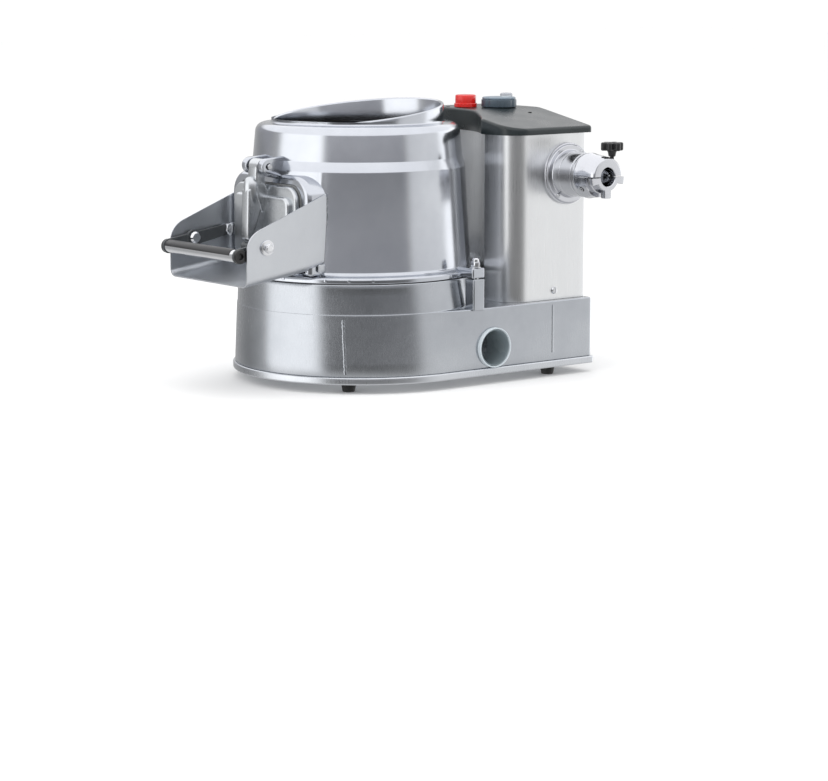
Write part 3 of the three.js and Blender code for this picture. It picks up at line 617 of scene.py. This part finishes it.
foot = lathe([(0, 0), (8.2, 0), (9.3, 0.9), (9.7, 3.2), (11.4, 12.2), (11, 13.6), (0, 13.6)], count=40)
foot = combine(foot, rod(3.2, -1, 4, count=24))
for node in ("foot_front_r", "foot_front_l", "foot_rear_r", "foot_rear_l"):
    finish(node + "_pad", foot.moved(*middle(node)[:2]), rubber, node, smooth=40)


def drain_shape(outer, inner_size, end):
    """Pipe that drops from the tub floor, bends and runs out through the wall."""
    x, y, z = drain
    bend = 34.0
    path = [(x, z + bend + h) for h in (floor_top - 0.5 - z - bend, 20, 4)]
    for k in range(13):
        a = radians(180 + 90 * k / 12)
        path.append((x + bend + bend * cos(a), z + bend + bend * sin(a)))
    path += [(x + bend + 8, z), (end - 1, z), (end, z)]
    rows = []
    for inner in (False, True):
        run = list(reversed(path)) if inner else path
        for i, (px, pz) in enumerate(run):
            j = max(0, min(len(run) - 2, i))
            heading = Vector((run[j + 1][0] - run[j][0], run[j + 1][1] - run[j][1])).normalized()
            if i == len(run) - 1 or i == 0:
                heading = Vector((round(heading.x), round(heading.y)))
            if inner:
                heading = -heading
            chamfer = 0.6 if px > end - 0.5 else 0.0
            size = inner_size + chamfer if inner else outer - chamfer
            row = []
            for a in turns(72):
                side, up = size * cos(a), size * sin(a)
                row.append((px - heading.y * up, y + side, pz + heading.x * up))
            rows.append(row)
    return skin(rows, wrap=True)


drain_end = span("drain_pipe")[1][0]
outlet = drain_shape(drain_radius, drain_radius - 2.3, drain_end)
finish("drain_outlet", outlet, pale, "drain_pipe", smooth=40)
# Dark inner tube inside the pale drain pipe: painted shade for the inside of its bore, not a separate part.
shade_lining = drain_shape(drain_radius - 2.4, drain_radius - 4.4, drain_end - 1.5)
finish("drain_painted_shade", shade_lining, painted_shade_plastic, smooth=40)

# ---- drum ----


def rim_height(y):
    """Height of the neck's slanting rim."""
    return neck_mid + neck_slope * y


def drum_shape():
    """Hollow casting; its neck's rim follows a slanting plane."""
    outer = rounded([(drum_upper - drum_wall, tub_top + 0.9), (tub_radius - 0.3, tub_top + 0.9),
                     (tub_radius, flange_top), (drum_foot + 1, flange_top + 1.5), (drum_waist, ledge - 7),
                     (drum_upper + 0.8, ledge + 8), (drum_upper - 4, shoulder), (neck_radius, shoulder + 1.5),
                     (neck_radius, 396)], [0, 1.2, 4.5, 7, 9, 7, 21, 7, 0], closed=False, steps=7)
    inner = rounded([(neck_radius - neck_wall, 389), (neck_radius - neck_wall, shoulder - drum_wall),
                     (drum_upper - drum_wall, shoulder - drum_wall - 14), (drum_upper - drum_wall, 300),
                     (drum_upper - drum_wall, tub_top + 2)], [0, 3, 8, 0, 0], closed=False)
    rim = []
    for k in range(7):
        a = pi * k / 6
        rim.append((neck_radius - neck_wall / 2 + neck_wall / 2 * cos(a), 2.2 * sin(a) - 2.2))
    rows = []
    for points, on_rim in ((outer, False), (rim, True), (inner, False)):
        for radius, height in points:
            row = []
            for a in turns(360):
                x, y = radius * cos(a), radius * sin(a)
                row.append((x, y, rim_height(y) + height if on_rim else height))
            rows.append(row)
    return skin(rows, wrap=True)


def boss_shape():
    """Flat-faced frame that carries the door, running back into the drum."""
    low = 172.5
    outline = rounded_box(-boss_half, boss_half, low, boss_top, [4, 4, 34, 34], 12)
    body = plate(outline, boss_face, -60, 8, "Y", 6)
    return combine(body, rod(drum_upper - 3, low - 5, boss_top + 5, count=180))


def lug_shape(x0, x1):
    """Ear that holds the hinge rod."""
    y, z = hinge
    nose = 12.0
    loop = arc(y, z, nose, 100, 262, 16) + [(-150, z - nose - 4), (-150, z + nose + 3)]
    return plate(loop, x0, x1, 1.6, "X", 3)


drum = combine(drum_shape(), boss_shape(), "UNION")
opening = plate(rounded_box(-66, 66, 192, 296, 16), -190, -110, 0.1, "Y")
seat = plate(rounded_box(-83, 83, 189, 306, 25, 10), boss_face - 8, boss_face + 3.5, 0.1, "Y")
drum = combine(combine(drum, seat), opening)
seam_angle = -55.6
drum = seam(drum, seam_angle, 0, flange_top + 4, ledge - 2, 1.2, 0.5)
for x0, x1 in ((15, 27), (-27, -15)):
    drum += combine(lug_shape(x0, x1), rod(5.2, -40, 40, "X", hinge, 32))
for x0, x1 in ((-198, -160), (160, 198)):
    drum += block(x0, x1, bolt_y - 12, bolt_y + 12, tub_top + 1, 177.5, 3, 1.6)
pin = lathe([(0, 183), (2.4, 183), (2.4, 184.7), (1.6, 185), (0, 185)], "X", (0, flange_top - 4), 20)
for angle in (-74, -52, -41, -30, 12):
    drum += pin.turned("Z", angle)
finish("drum_casting", drum, drum_metal, "drum", smooth=30)


def tube(inner, outer, low, high, count=180):
    return lathe([(inner, low), (outer, low), (outer, high), (inner, high)], count=count, wrap=True)


gasket = tube(tub_inner + 1, tub_radius - 1.5, tub_top + 0.15, tub_top + 0.75)
finish("drum_gasket", gasket, rubber, "drum_seal")
liner_outer = drum_upper - drum_wall - 2.5
liner = tube(liner_outer - 4, liner_outer, 184, 330, 240)
liner = combine(liner, block(-72, 72, -200, -60, 184, 304, 10, 0.1, "Y"))
finish("grit_liner", liner, grit, "abrasive_liner")

bolt = rod(4.6, 140, 180, count=28) + plate(hexagon(13, turn=14), 177.8, 187, 0.8)
bolt += lathe([(0, 187), (5.4, 187), (5.6, 188), (5.2, 190.5), (3.4, 192.3), (0, 192.5)], count=28)
bolt += rod(8.6, 177.6, 178.6, count=32)
finish("clamp_bolt_r", bolt.moved(bolt_x, bolt_y), bright, "drum_bolt_r")
finish("clamp_bolt_l", bolt.moved(-bolt_x, bolt_y), bright, "drum_bolt_l")

# ---- chute ----


def chute_shape():
    """One bent sheet: floor, rounded bends and two tapering side walls."""
    sheet_thick, bend = 2.0, 12.0
    front, rear = chute_front[0], chute_rear[0]
    tilt = (chute_rear[1] - chute_front[1]) / (rear - front)
    nose_end = Vector((front + 23, 247.5))
    wall_end = Vector((rear, 293.5))
    stations = curve((front, 214), (front, 238), nose_end, 9)
    stations += [tuple(nose_end.lerp(wall_end, k / 14)) for k in range(1, 15)]
    rows = []
    for y, top in stations:
        floor = chute_front[1] + (y - front) * tilt
        ring = []
        for lift in (0.0, sheet_thick):
            half = chute_outer - lift
            radius = bend - lift
            low = floor + lift
            right = [(half, top + (low + radius - top) * k / 6) for k in range(6)]
            right += arc(half - radius, low + radius, radius, 0, -90, 6)
            left = [(-x, z) for x, z in reversed(right)]
            middle = [((half - radius) * (1 - 2 * k / 8), low) for k in range(1, 8)]
            run = right + middle + left
            ring += list(reversed(run)) if lift else run
        rows.append([(x, y, z) for x, z in ring])
    return skin(rows)


chute = chute_shape()
boss_room = block(-boss_half - 0.3, boss_half + 0.3, boss_face - 0.3, -20, 120, 380, 0.5, 0.1, "Y")
drum_room = lathe([(0, 120), (tub_radius + 1, 120), (tub_radius + 1, flange_top + 1.5),
                   (drum_foot + 1.2, flange_top + 9), (drum_waist + 0.6, ledge - 7), (0, ledge - 7)],
                  count=240)
chute = combine(combine(chute, boss_room), drum_room)
chute_piece = finish("chute_sheet", chute, chute_sheet, "chute")


def edge_rounding(thing, width):
    """Bevels a piece's sharp edges."""
    change = thing.modifiers.new("edges", "BEVEL")
    change.width = width * MM
    change.segments = 2
    change.limit_method = "ANGLE"
    change.angle_limit = radians(50)
    change.harden_normals = True


edge_rounding(chute_piece, 0.5)
tab = block(chute_outer - 1, chute_outer + 1.6, -150, -138, 178, 190, 3, 0.6, "X")
finish("chute_tab", tab, chute_sheet)


def weld_bead(x, y, low, high, radius=2.1):
    """Uneven upright bead of weld."""
    rows = []
    for k in range(int((high - low) / 1.5) + 1):
        z = low + 1.5 * k
        size = radius * (1 + 0.3 * noise.noise(Vector((x, 0, z * 0.3))))
        drift = 0.5 * noise.noise(Vector((0, x, z * 0.2)))
        rows.append([(u, v, z) for u, v in arc(x, y + drift, size, 0, 330, 11)])
    return skin(rows)


bead = weld_bead(chute_outer - 0.6, chute_rear[0] + 2.4, 190, 290)
finish("chute_weld_right", bead, cast)
finish("chute_weld_left", bead.mirrored(), cast)


def pivot_shape():
    """Bolt with a button inside the chute's wall, and a washer and a hexagon head outside it."""
    inner = arm_x - 5
    reach = chute_outer + 1 - inner
    shank = lathe([(0, -4), (6.6, -4), (8.6, -1.4), (9, -0.4), (8.8, 0), (5.8, 0), (5.8, reach), (0, reach)],
                  "X", pivot, 40, base=inner)
    washer = lathe([(0, 0.2), (11, 0.2), (11.5, 0.7), (11.3, 2), (10.6, 2.3), (0, 2.3)], "X", pivot, 48,
                   base=chute_outer)
    head = plate(hexagon(13, pivot, 20), chute_outer + 2.2, chute_outer + 8, 0.9, "X")
    dome = lathe([(0, 7.9), (5, 7.9), (4.4, 8.6), (0, 8.9)], "X", pivot, 32, base=chute_outer)
    return shank + washer + head + dome


pair("pivot", pivot_shape(), bright, "pivot_bolt")

# ---- latch bail ----


def strap(a, ra, b, rb):
    """Outline of a bar with a round eye at each end."""
    run = Vector(b) - Vector(a)
    heading = atan2(run.y, run.x) * 180 / pi
    return arc(*b, rb, heading - 90, heading + 90, 16) + arc(*a, ra, heading + 90, heading + 270, 20)


def latch_arm_shape():
    """Flat bar with a round pad at the pivot and holes for its three bolts."""
    bar = plate(strap(bail, 11, bail_end, 8), arm_x, arm_outer, 0.8, "X")
    thick = arm_outer - arm_x
    pad = lathe([(0, -0.4), (10.4, -0.4), (11, 0.2), (11, thick - 0.2), (10.4, thick + 0.3),
                 (0, thick + 0.3)], "X", pivot, 40, base=arm_x)
    holes = Shape([], [])
    for centre, radius in ((pivot, 7), (bail, 7), (bail_end, 6)):
        holes += rod(radius, 80, 100, "X", centre, 32)
    return combine(combine(bar, pad, "UNION"), holes)


pair("bail_arm", latch_arm_shape(), dark_plate, "latch_arm", "latch")
cross_tube = lathe([(6.3, -tube_end), (9.1, -tube_end), (9.5, -tube_end + 0.4), (9.5, tube_end - 0.4),
                    (9.1, tube_end), (6.3, tube_end)], "X", bail, 64, wrap=True)
finish("bail_tube", cross_tube, bright, "latch_tube", "latch")
# Black half-sleeve on the upper half of the bail tube: drawn as a rubber sleeve, it also paints in the dark
# reflection the tube shows from above.
sleeve_and_reflection_loop = arc(*bail, 10.1, -8, 172, 32) + arc(*bail, 9.4, 172, -8, 32)
finish("bail_sleeve_and_dark_reflection", plate(sleeve_and_reflection_loop, -tube_end + 1, tube_end - 9, 0.3, "X"), black, body="latch")

plug = lathe([(0, -12), (5.9, -12), (5.9, 0.3), (9.8, 0.3), (10.5, 1), (10.5, 3), (9.6, 4), (5.6, 4),
              (4.6, 3.2), (4.6, 0), (0, 0)], "X", bail, 48, base=arm_outer)
pair("bail_plug", plug, black, "latch_cap", "latch")
nut = plate(hexagon(18, bail_end, 12), arm_x - 7, arm_x - 0.3, 1.0, "X")
nut += rod(4.6, arm_x - 8, arm_outer + 1.8, "X", bail_end, 28)
nut += lathe([(0, 0.3), (7.4, 0.3), (8, 1), (6.4, 2.2), (0, 2.2)], "X", bail_end, 36, base=arm_outer)
pair("bail_nut", nut, bright, "latch_nut", "latch")

low, high = (end[0] for end in span("latch_stud"))
stud = lathe([(0, low), (4.2, low), (4.6, low + 0.4), (6.5, low + 2.2), (6.5, high - 0.3), (6.2, high),
              (0, high)], "X", middle("latch_stud")[1:], 36)
finish("bail_stud", stud, dark_plate, "latch_stud", "latch")

# ---- door ----


def door_shape():
    """Cast door with its inner plate, rib, grip bulb and the gooseneck that hangs on the hinge rod."""
    back = boss_face + 0.3
    flange = plate(rounded_box(-80, 80, 192, 303, 22), back - 10, back - 2, 2.6, "Y", 5)
    panel = plate(rounded_box(-70, 70, 198, 288, 13), -182.5, back - 6, 4.5, "Y", 6)
    inner_plate = plate(rounded_box(-62, 62, 196, 292, 13), back - 3, -156, 1.5, "Y")
    rib_side = rounded([(-174, 222), (-204, 219.5), (-211, 224), (-208.5, 300), (-174, 300)], [2, 3, 5, 6, 2])
    rib = plate(rib_side, -9.5, 9.5, 3.4, "X", 5)
    bulb = lathe([(0, 316.5), (5, 315.6), (8.6, 313), (10.9, 308.5), (11.8, 302), (12, 296), (11.4, 286),
                  (9.6, 276), (0, 272)], "Z", (0, -197), 48)
    front = [(-186, 262), (-193, 285)] + curve((-195.5, 300), (-197.5, 319), (-195, 331), 8)
    behind = curve((-176, 331), (-184, 311), (-173, 294), 8) + [(-173, 262)]
    gooseneck = plate(front + behind, -11, 11, 3.0, "X", 4)
    eye = lathe([(0, -11), (9.6, -11), (11, -9.6), (11, 9.6), (9.6, 11), (0, 11)], "X", hinge, 48)
    arm = combine(combine(gooseneck, eye, "UNION"), rod(5.2, -20, 20, "X", hinge, 32))
    return flange + panel + inner_plate + rib + bulb + arm


finish("door_casting", door_shape(), door_metal, "door", "door_leaf", smooth=40)
catch_end = span("door_catch")[1][0]
striker = lathe([(0, -catch_end), (5.4, -catch_end), (6.2, -catch_end + 0.8), (6.2, catch_end - 0.8),
                 (5.4, catch_end), (0, catch_end)], "X", middle("door_catch")[1:], 40)
finish("door_striker", striker, dark_plate, "door_catch", "door_leaf")

outer_seal = rounded_box(-82.4, 82.4, 189.6, 305.4, 24.4)
seal = combine(plate(outer_seal, boss_face - 0.5, boss_face + 3.2, 0.8, "Y"),
               plate(rounded_box(-67, 67, 193, 297, 15), -172, -150, 0.1, "Y"))
finish("door_gasket", seal, grey_rubber, "door_seal")

pin = lathe([(0, -32), (6.6, -32), (8, -30.8), (8, -28.4), (7.2, -27.4), (4.2, -27.4), (4.2, 30), (3.4, 31),
             (0, 31)], "X", hinge, 40)
finish("hinge_rod", pin, satin, "hinge_pin")

# ---- motor column ----


def column_outline():
    """Box with round front corners, hollowed in front so that it hugs the drum."""
    half, front, rear = column_half, column_front, column_rear
    corner, hug = column_corner, recess
    reach = sqrt(hug * hug - front * front)
    angle = atan2(front, reach) * 180 / pi
    loop = arc(half - corner, front + corner, corner, -90, 0, 14)
    loop += arc(half - 8, rear - 8, 8, 0, 90, 6) + arc(-half + 8, rear - 8, 8, 90, 180, 6)
    loop += arc(-half + corner, front + corner, corner, 180, 270, 14)
    loop += arc(0, 0, hug, 180 - angle, angle, 40)
    return subdivided(loop, 9)


def column_shape():
    low, high = column_low[2], column_high[2]
    outside = column_outline()
    inside = offset_loop(outside, 2)
    rows = [[(x, y, z) for x, y in outside] for z in (low, low + 40, high - 40, high)]
    rows += [[(x, y, z) for x, y in inside] for z in (high, low)]
    return combine(skin(rows, wrap=True), rod(33.9, 170, 200, "X", drive, 72))


finish("column_shell", column_shape(), sheet, "column", smooth=30)

screw_y, screw_z = 237.0, 131.0
screw = lathe([(0, -6), (2.3, -6), (2.3, 0.2), (5.6, 0.2), (5.6, 1), (4.6, 2.4), (2.4, 3), (0, 3.1)],
              "X", (screw_y, screw_z), 40, base=column_half)
screw_slot = block(column_half + 1.6, column_half + 5, screw_y - 0.7, screw_y + 0.7, screw_z - 7, screw_z + 7,
                   0.1, 0.1, "X")
screw = combine(screw, screw_slot)
finish("column_screw_right", screw, bright, "column_screw_r")
finish("column_screw_left", screw.mirrored(), bright, "column_screw_l")

# ---- cover ----


def roof(x):
    """Height of the cover's top: flat in the middle, sloping to both sides, with soft bends."""
    flat, eaves = 66.0, cover_low[2] + 10
    slope = (cover_top - eaves) / (cover_high[0] - flat)
    beyond = abs(x) - flat
    return cover_top - slope * 0.5 * (beyond + sqrt(beyond * beyond + 40))


def cover_edge(x, front):
    """Front or rear edge of the cover's plan at x."""
    half, y_front, y_rear = cover_high[0], cover_low[1], cover_high[1]
    corner = column_corner + half - column_half
    if not front:
        over = abs(x) - (half - 8)
        return y_rear - (8 - sqrt(max(0.0, 64 - over * over)) if over > 0 else 0)
    hug = recess - (half - column_half)
    y = sqrt(hug * hug - x * x) if abs(x) < hug else 0.0
    if y > y_front:
        return y
    over = abs(x) - (half - corner)
    return y_front + (corner - sqrt(max(0.0, corner ** 2 - over * over)) if over > 0 else 0)


def cover_shape():
    """Roof on a grid that follows the plan, with soft edges and a lip turned in underneath."""
    half = cover_high[0]
    across = [half * sin(pi / 2 * (2 * i / 120 - 1)) for i in range(121)]
    shares = [0.5 - 0.5 * cos(pi * j / 40) for j in range(41)]
    soft = 4.5
    grid = []
    for x in across:
        near, far = cover_edge(x, True), cover_edge(x, False)
        line = []
        for t in shares:
            y = near + (far - near) * t
            gap = min(y - near, far - y, half - abs(x))
            drop = soft - sqrt(max(0.0, soft * soft - (soft - gap) ** 2)) if gap < soft else 0.0
            line.append((x, y, roof(x) - drop))
        grid.append(line)
    n = len(shares)
    verts = [p for line in grid for p in line]
    faces = []
    for i in range(len(across) - 1):
        for j in range(n - 1):
            faces.append((i * n + j, (i + 1) * n + j, (i + 1) * n + j + 1, i * n + j + 1))
    border = [(i, 0) for i in range(len(across) - 1)] + [(len(across) - 1, j) for j in range(n - 1)]
    border += [(i, n - 1) for i in range(len(across) - 1, 0, -1)] + [(0, j) for j in range(n - 1, 0, -1)]
    loop = [i * n + j for i, j in border]
    bottom = cover_low[2]
    flat = [(verts[k][0], verts[k][1]) for k in loop]
    lip, side_y = 3.2, 200
    inner = []
    for x, y in flat:
        shift = lip if y < side_y else 0.0 if y < side_y + lip else -lip
        inner.append((x * 0.982, y + shift))
    for points, z in ((flat, bottom + 1), (flat, bottom + 0.2), (inner, bottom), (inner, bottom + 7)):
        start = len(verts)
        verts += [(x, y, z) for x, y in points]
        fresh = list(range(start, len(verts)))
        for k in range(len(loop)):
            m = (k + 1) % len(loop)
            faces.append((loop[k], loop[m], fresh[m], fresh[k]))
        loop = fresh
    faces.append(tuple(loop))
    return Shape(verts, faces)


finish("top_cover", cover_shape(), slate, "cover", smooth=50)

# ---- controls ----

cover_screws = [(-24, 196), (96, 262), (-150, 262)]
for k, (x, y) in enumerate(cover_screws):
    head = lathe([(0, -2), (3.4, -2), (3.4, 0.1), (2.8, 0.7), (0, 0.8)], "Z", (x, y), 28, base=roof(x))
    finish(f"cover_screw_{k + 1}", head, black)

seat_z = cover_top + 0.3
stop = middle("stop_button")[:2]
timer = middle("timer_knob")[:2]
start = middle("start_button")[:2]

collar = lathe([(8.8, 0), (17.6, 0), (18, 0.4), (18, 5.2), (17.4, 5.9), (16.8, 5.9), (16.8, 1), (8.8, 1)],
               "Z", stop, 72, wrap=True, base=seat_z)
finish("stop_ring", collar, red, "stop_collar")
button = lathe([(0, -9), (5, -9), (5, 4), (15.8, 4.4), (16.3, 5), (16.3, 9), (16.1, 17), (15.4, 18.5),
                (14, 19), (6, 18.7), (0, 18.6)], "Z", stop, 72, base=seat_z)
finish("stop_cap", button, red, "stop_button", "stop")


def fluted(radius, depth=1.6, flutes=8, turn=0.2):
    """Round outline of the timer knob with narrow finger grooves."""
    loop = []
    for a in turns(144):
        wave = 0.5 + 0.5 * cos(flutes * (a - turn))
        r = radius - depth * wave ** 6
        loop.append((timer[0] + r * cos(a), timer[1] + r * sin(a)))
    return loop


skirt = plate(fluted(27.5), 0.5, 12, 0.8)
crown = plate(fluted(26.3), 11.5, 16, 2.2)
stem = rod(5, -9, 1, "Z", timer, 32)
finish("timer_grip", (skirt + stem).moved(z=seat_z), slate_blue, "timer_knob", "timer")
finish("timer_crown", crown.moved(z=seat_z), knob_edge, body="timer")
pointer = block(timer[0] - 1.4, timer[0] + 1.4, timer[1] + 6, timer[1] + 24, 15.2, 16.8, 1, 0.5)
finish("timer_pointer", pointer.moved(z=seat_z), pale, body="timer")

ring = lathe([(10.2, 0), (12.2, 0), (12.6, 0.4), (12.6, 3.4), (12, 4), (10.2, 4)], "Z", start, 48,
             wrap=True, base=seat_z)
finish("start_ring", ring, black, "start_collar")
lower = lathe([(0, -9), (5, -9), (5, 3.4), (9.3, 3.8), (9.5, 4.2), (9.5, 14), (0, 14)], "Z", start, 48,
              base=seat_z)
upper = lathe([(0, 14), (9.8, 14), (9.8, 17), (9, 19.3), (7.6, 20), (0, 19.6)], "Z", start, 48, base=seat_z)
finish("start_core", lower, pink_core, "start_button", "start")
finish("start_cap", upper, clear_cap, body="start")

# ---- accessory drive ----

face = column_half + 0.3
rings = [(46.6, 0), (47.2, 0.6), (47.2, 3), (46.6, 4.2), (45.2, 4.6), (44.4, 4.2), (43.9, 5), (43.7, 7.4),
         (43.1, 8), (37.4, 8), (36.6, 8.5), (35.9, 10), (34.9, 20), (34.4, 20.4), (34.2, 21.4), (34.5, 22),
         (33.3, 40), (33.3, 44), (32.7, 44.6), (33, 45.2)]
housing = [(16, 172), (33.5, 172), (33.5, face)] + [(radius, face + height) for radius, height in rings]
housing += [(32.9, 235.2), (32.2, 236), (31.5, 236.2), (31.5, 238), (16, 238)]
finish("hub_housing", lathe(housing, "X", drive, 144, wrap=True), hub_metal, "drive_housing", smooth=28)
seat_x = face + 8
for k in (1, 2):
    spot = middle(f"housing_screw_{k}")[1:]
    head = lathe([(0, -6), (2.3, -6), (2.3, 0.1), (3.6, 0.2), (3.4, 0.9), (2.4, 1.9), (0, 2)], "X", spot, 32,
                 base=seat_x)
    socket = plate(hexagon(2.4, spot), seat_x + 1, seat_x + 3, 0.05, "X")
    finish(f"hub_screw_{k}", combine(head, socket), satin, f"housing_screw_{k}")

bore_radius, nose = 14.3, 280.0
knob_spot = (268.0, drive[0] + 18)


def radial(shape):
    """Moves a shape from the Z axis to the set screw's line."""
    return shape.turned("X", 125).moved(251, drive[0], drive[1])


def socket_shape():
    """Tube whose lower half stops short, with a saw cut and holes for the clamp and the set screw."""
    profile = [(bore_radius + 0.8, 238.3), (33.6, 238.3), (34.4, 239), (34.5, 241), (33.6, 243.4),
               (32.4, 255), (30.2, 274), (29.2, 277.4), (27.6, 279.3), (25.6, nose),
               (bore_radius + 0.9, nose), (bore_radius, nose - 0.9), (bore_radius, 239.2)]
    body = lathe(profile, "X", drive, 120, wrap=True)
    y, z = drive
    lower = block(262, 300, y - 50, y + 50, z - 50, z + 0.8, 0.1, 0.1, "X")
    saw = block(250, 264, y - 50, y - 5, z - 0.8, z + 0.8, 0.1, 0.1, "X")
    for tool in (lower, saw, rod(4.6, z - 60, z + 60, "Z", knob_spot), radial(rod(4.2, 12, 40, count=32))):
        body = combine(body, tool)
    return body


def lugs_shape():
    """Hub inside the socket, with three claws round it, kept only below the saw cut."""
    y, z = drive
    hub = lathe([(bore_radius, 262.3), (20.6, 262.3), (21.4, 263), (21.4, nose - 0.8), (20.8, nose),
                 (bore_radius + 0.8, nose), (bore_radius, nose - 0.8)], "X", drive, 96, wrap=True)
    web = lathe([(bore_radius + 1, 262.3), (26, 262.3), (26, 267), (25, 268), (bore_radius + 1, 268)],
                "X", drive, 96, wrap=True)
    whole = combine(hub, web, "UNION")
    for degrees in (100, 180, 260):
        lug = block(271, nose, -6.5, 6.5, 15, 32.3, 1.8, 0.8, "X").turned("X", degrees).moved(0, y, z)
        whole = combine(whole, lug, "UNION")
    below = block(255, 300, y - 60, y + 60, z - 60, z - 0.8, 0.1, 0.1, "X")
    whole = combine(whole, below, "INTERSECT")
    whole = combine(whole, rod(bore_radius, 255, 290, "X", drive, 96))
    return combine(whole, rod(4.6, z - 60, z + 60, "Z", knob_spot))


finish("socket_body", socket_shape(), hub_metal, "drive_socket", smooth=30)
finish("socket_claws", lugs_shape(), hub_metal, "socket_lugs", smooth=30)
grub = combine(rod(3.1, 18, 33.5, count=32), plate(hexagon(2.6), 30, 35, 0.05))
finish("socket_grub", radial(grub), satin, "set_screw")

star = []
for a in turns(96):
    r = 14.6 + 3.0 * cos(6 * a) - 0.6 * cos(12 * a)
    star.append((r * cos(a), r * sin(a)))
grip = plate(star, 38.5, 51, 2.2, steps=4)
dimple = lathe([(0, 50.2), (6, 50.2), (7, 50.9), (7, 52), (0, 52)], count=40)
stalk = lathe([(0, -14), (3.1, -14), (3.1, 29.5), (5.2, 30), (5.6, 32), (6.4, 36), (8, 38.6), (0, 38.6)],
              count=40)
clamp = (combine(grip, dimple) + stalk).moved(knob_spot[0], knob_spot[1], drive[1])
finish("clamp_star", clamp, black, "clamp_knob", "clamp")

# ---- inside ----

table_profile = rounded([(10.5, 168), (32, 168), (36, 174), (146, 174), (148, 177), (148, 181), (120, 181),
                         (96, 184), (70, 181), (36, 181), (30, 186), (10.5, 186)],
                        [0, 2, 2, 1, 1, 1.5, 5, 10, 5, 2, 2, 0], steps=4)
finish("rotor_plate", lathe(table_profile, count=180, wrap=True), cast, "turntable", "rotor")
disc = lathe([(40, 184.4), (141, 184.4), (141, 186.4), (140.4, 187), (40.6, 187), (40, 186.4)], count=180,
             wrap=True)
wave = plate(arc(0, 184.6, 7.4, 0, 180, 20), 50, 134, 2.0, "X")
for k in range(3):
    disc += wave.turned("Z", 120 * k)
finish("rotor_abrasive", disc, grit, "abrasive_disc", "rotor")
main = lathe([(0, 56), (9.4, 56), (9.4, 186.4), (15.4, 186.8), (16, 187.4), (16, 189.4), (15, 190.4),
              (9, 195.6), (6, 196.2), (0, 196.4)], count=64)
finish("rotor_shaft", main, satin, "main_shaft", "rotor")

inside = {
    "bearing_low": bright, "bearing_high": bright, "shaft_seal": rubber, "belt_pulley": cast,
    "belt": rubber, "motor": motor_paint, "motor_shaft": satin, "drive_shaft": satin,
    "drive_bearing": brass, "cable_gland": black,
}
for node, material in inside.items():
    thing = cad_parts[node]
    thing.data.materials.clear()
    thing.data.materials.append(material)
    edge_rounding(thing, 0.3)

# ---- stage, light and camera ----

azimuth, elevation = radians(51.87), radians(9.25)
back = Vector((sin(azimuth) * cos(elevation), -cos(azimuth) * cos(elevation), sin(elevation)))
camera_data = bpy.data.cameras.new("camera")
camera_data.sensor_width = 36
camera_data.lens = 117.4
camera = placed("camera", camera_data)
camera.location = Vector((3.2915, -2.4746, 0.6455)) + drum_axis
camera.rotation_euler = (-back).to_track_quat("-Z", "Y").to_euler()
bpy.context.scene.camera = camera

floor_mesh = bpy.data.meshes.new("floor")
size = 14
corners = [(-size, -size, 0), (size, -size, 0), (size, size, 0), (-size, size, 0)]
floor_mesh.from_pydata(corners, [], [(0, 1, 2, 3)])
floor = placed("floor", floor_mesh)
n = Looks("pale_floor")
n.fill(n.shader, {"Base Color": (0.93, 0.93, 0.93, 1), "Roughness": 1.0, "Specular IOR Level": 0.0})
floor_mesh.materials.append(n.material)
floor.visible_glossy = False

world = bpy.data.worlds.new("studio")
bpy.context.scene.world = world
world.use_nodes = True
n = Nodes(world.node_tree)


def along(vector):
    """How far the direction of a ray goes along a vector."""
    inputs = {0: n.place["Generated"], 1: vector}
    return n.add("VectorMath", inputs, operation="DOT_PRODUCT").outputs["Value"]


def between(value, start, stop):
    """Smooth step from nothing at start to all at stop."""
    return n.fit(value, 0, 1, start, stop, interpolation_type="SMOOTHSTEP")


toward = Vector((back.x, back.y, 0)).normalized()
right = Vector((-toward.y, toward.x, 0))
turn = n.maths("ARCTAN2", along(right), along(toward))
ramp = n.add("ValToRGB", {"Fac": n.maths("ADD", n.maths("DIVIDE", turn, 2 * pi), 0.5)})
stops = [(-180, 0.6), (-125, 0.35), (-98, 0.6), (-90, 1.7), (-40, 1.8), (-33, 0.26), (10, 0.17), (50, 0.26),
         (60, 0.95), (100, 1.1), (108, 1.75), (148, 1.75), (156, 0.6), (180, 0.6)]
while len(ramp.color_ramp.elements) < len(stops):
    ramp.color_ramp.elements.new(0.5)
for element, (degrees, level) in zip(ramp.color_ramp.elements, stops):
    element.position = degrees / 360 + 0.5
    element.color = (level / 2, level / 2, level / 2, 1)

# reflections see a studio of dark and bright walls; everything else is lit by plain white
height = along((0, 0, 1))
above_floor = n.blend(between(height, 0.0, 0.07), ramp.outputs["Color"], (0.24, 0.24, 0.25, 1), "LIGHTEN")
with_top = n.blend(between(height, 0.24, 0.38), above_floor, (0.72, 0.72, 0.73, 1))
below = between(n.maths("MULTIPLY", height, -1), 0.25, 0.6)
studio = n.blend(below, with_top, (0.4, 0.4, 0.4, 1))
reflected = n.add("Background", {"Color": studio, "Strength": 2.0})
white = n.add("Background", {"Color": (1, 1, 1, 1), "Strength": 1.08})
glossy = n.add("LightPath").outputs["Is Glossy Ray"]
both = n.add("MixShader", {"Fac": glossy, 1: white.outputs["Background"],
                           2: reflected.outputs["Background"]})
n.add("OutputWorld", {"Surface": both.outputs["Shader"]})


def area_light(name, energy, size, location):
    """Soft square lamp that looks at the drum and shows in no reflection."""
    target = Vector((0, 0.05, 0.2))
    data = bpy.data.lights.new(name, "AREA")
    data.energy = energy
    data.size = size
    lamp = placed(name, data)
    lamp.location = location
    lamp.rotation_euler = (Vector(location) - target).to_track_quat("Z", "Y").to_euler()
    lamp.visible_glossy = False


area_light("overhead", 20, 2.2, (0.4, -0.3, 2.6))
area_light("key", 8, 1.2, (-0.2, -2.6, 1.6))
bpy.context.scene.view_settings.view_transform = "Standard"
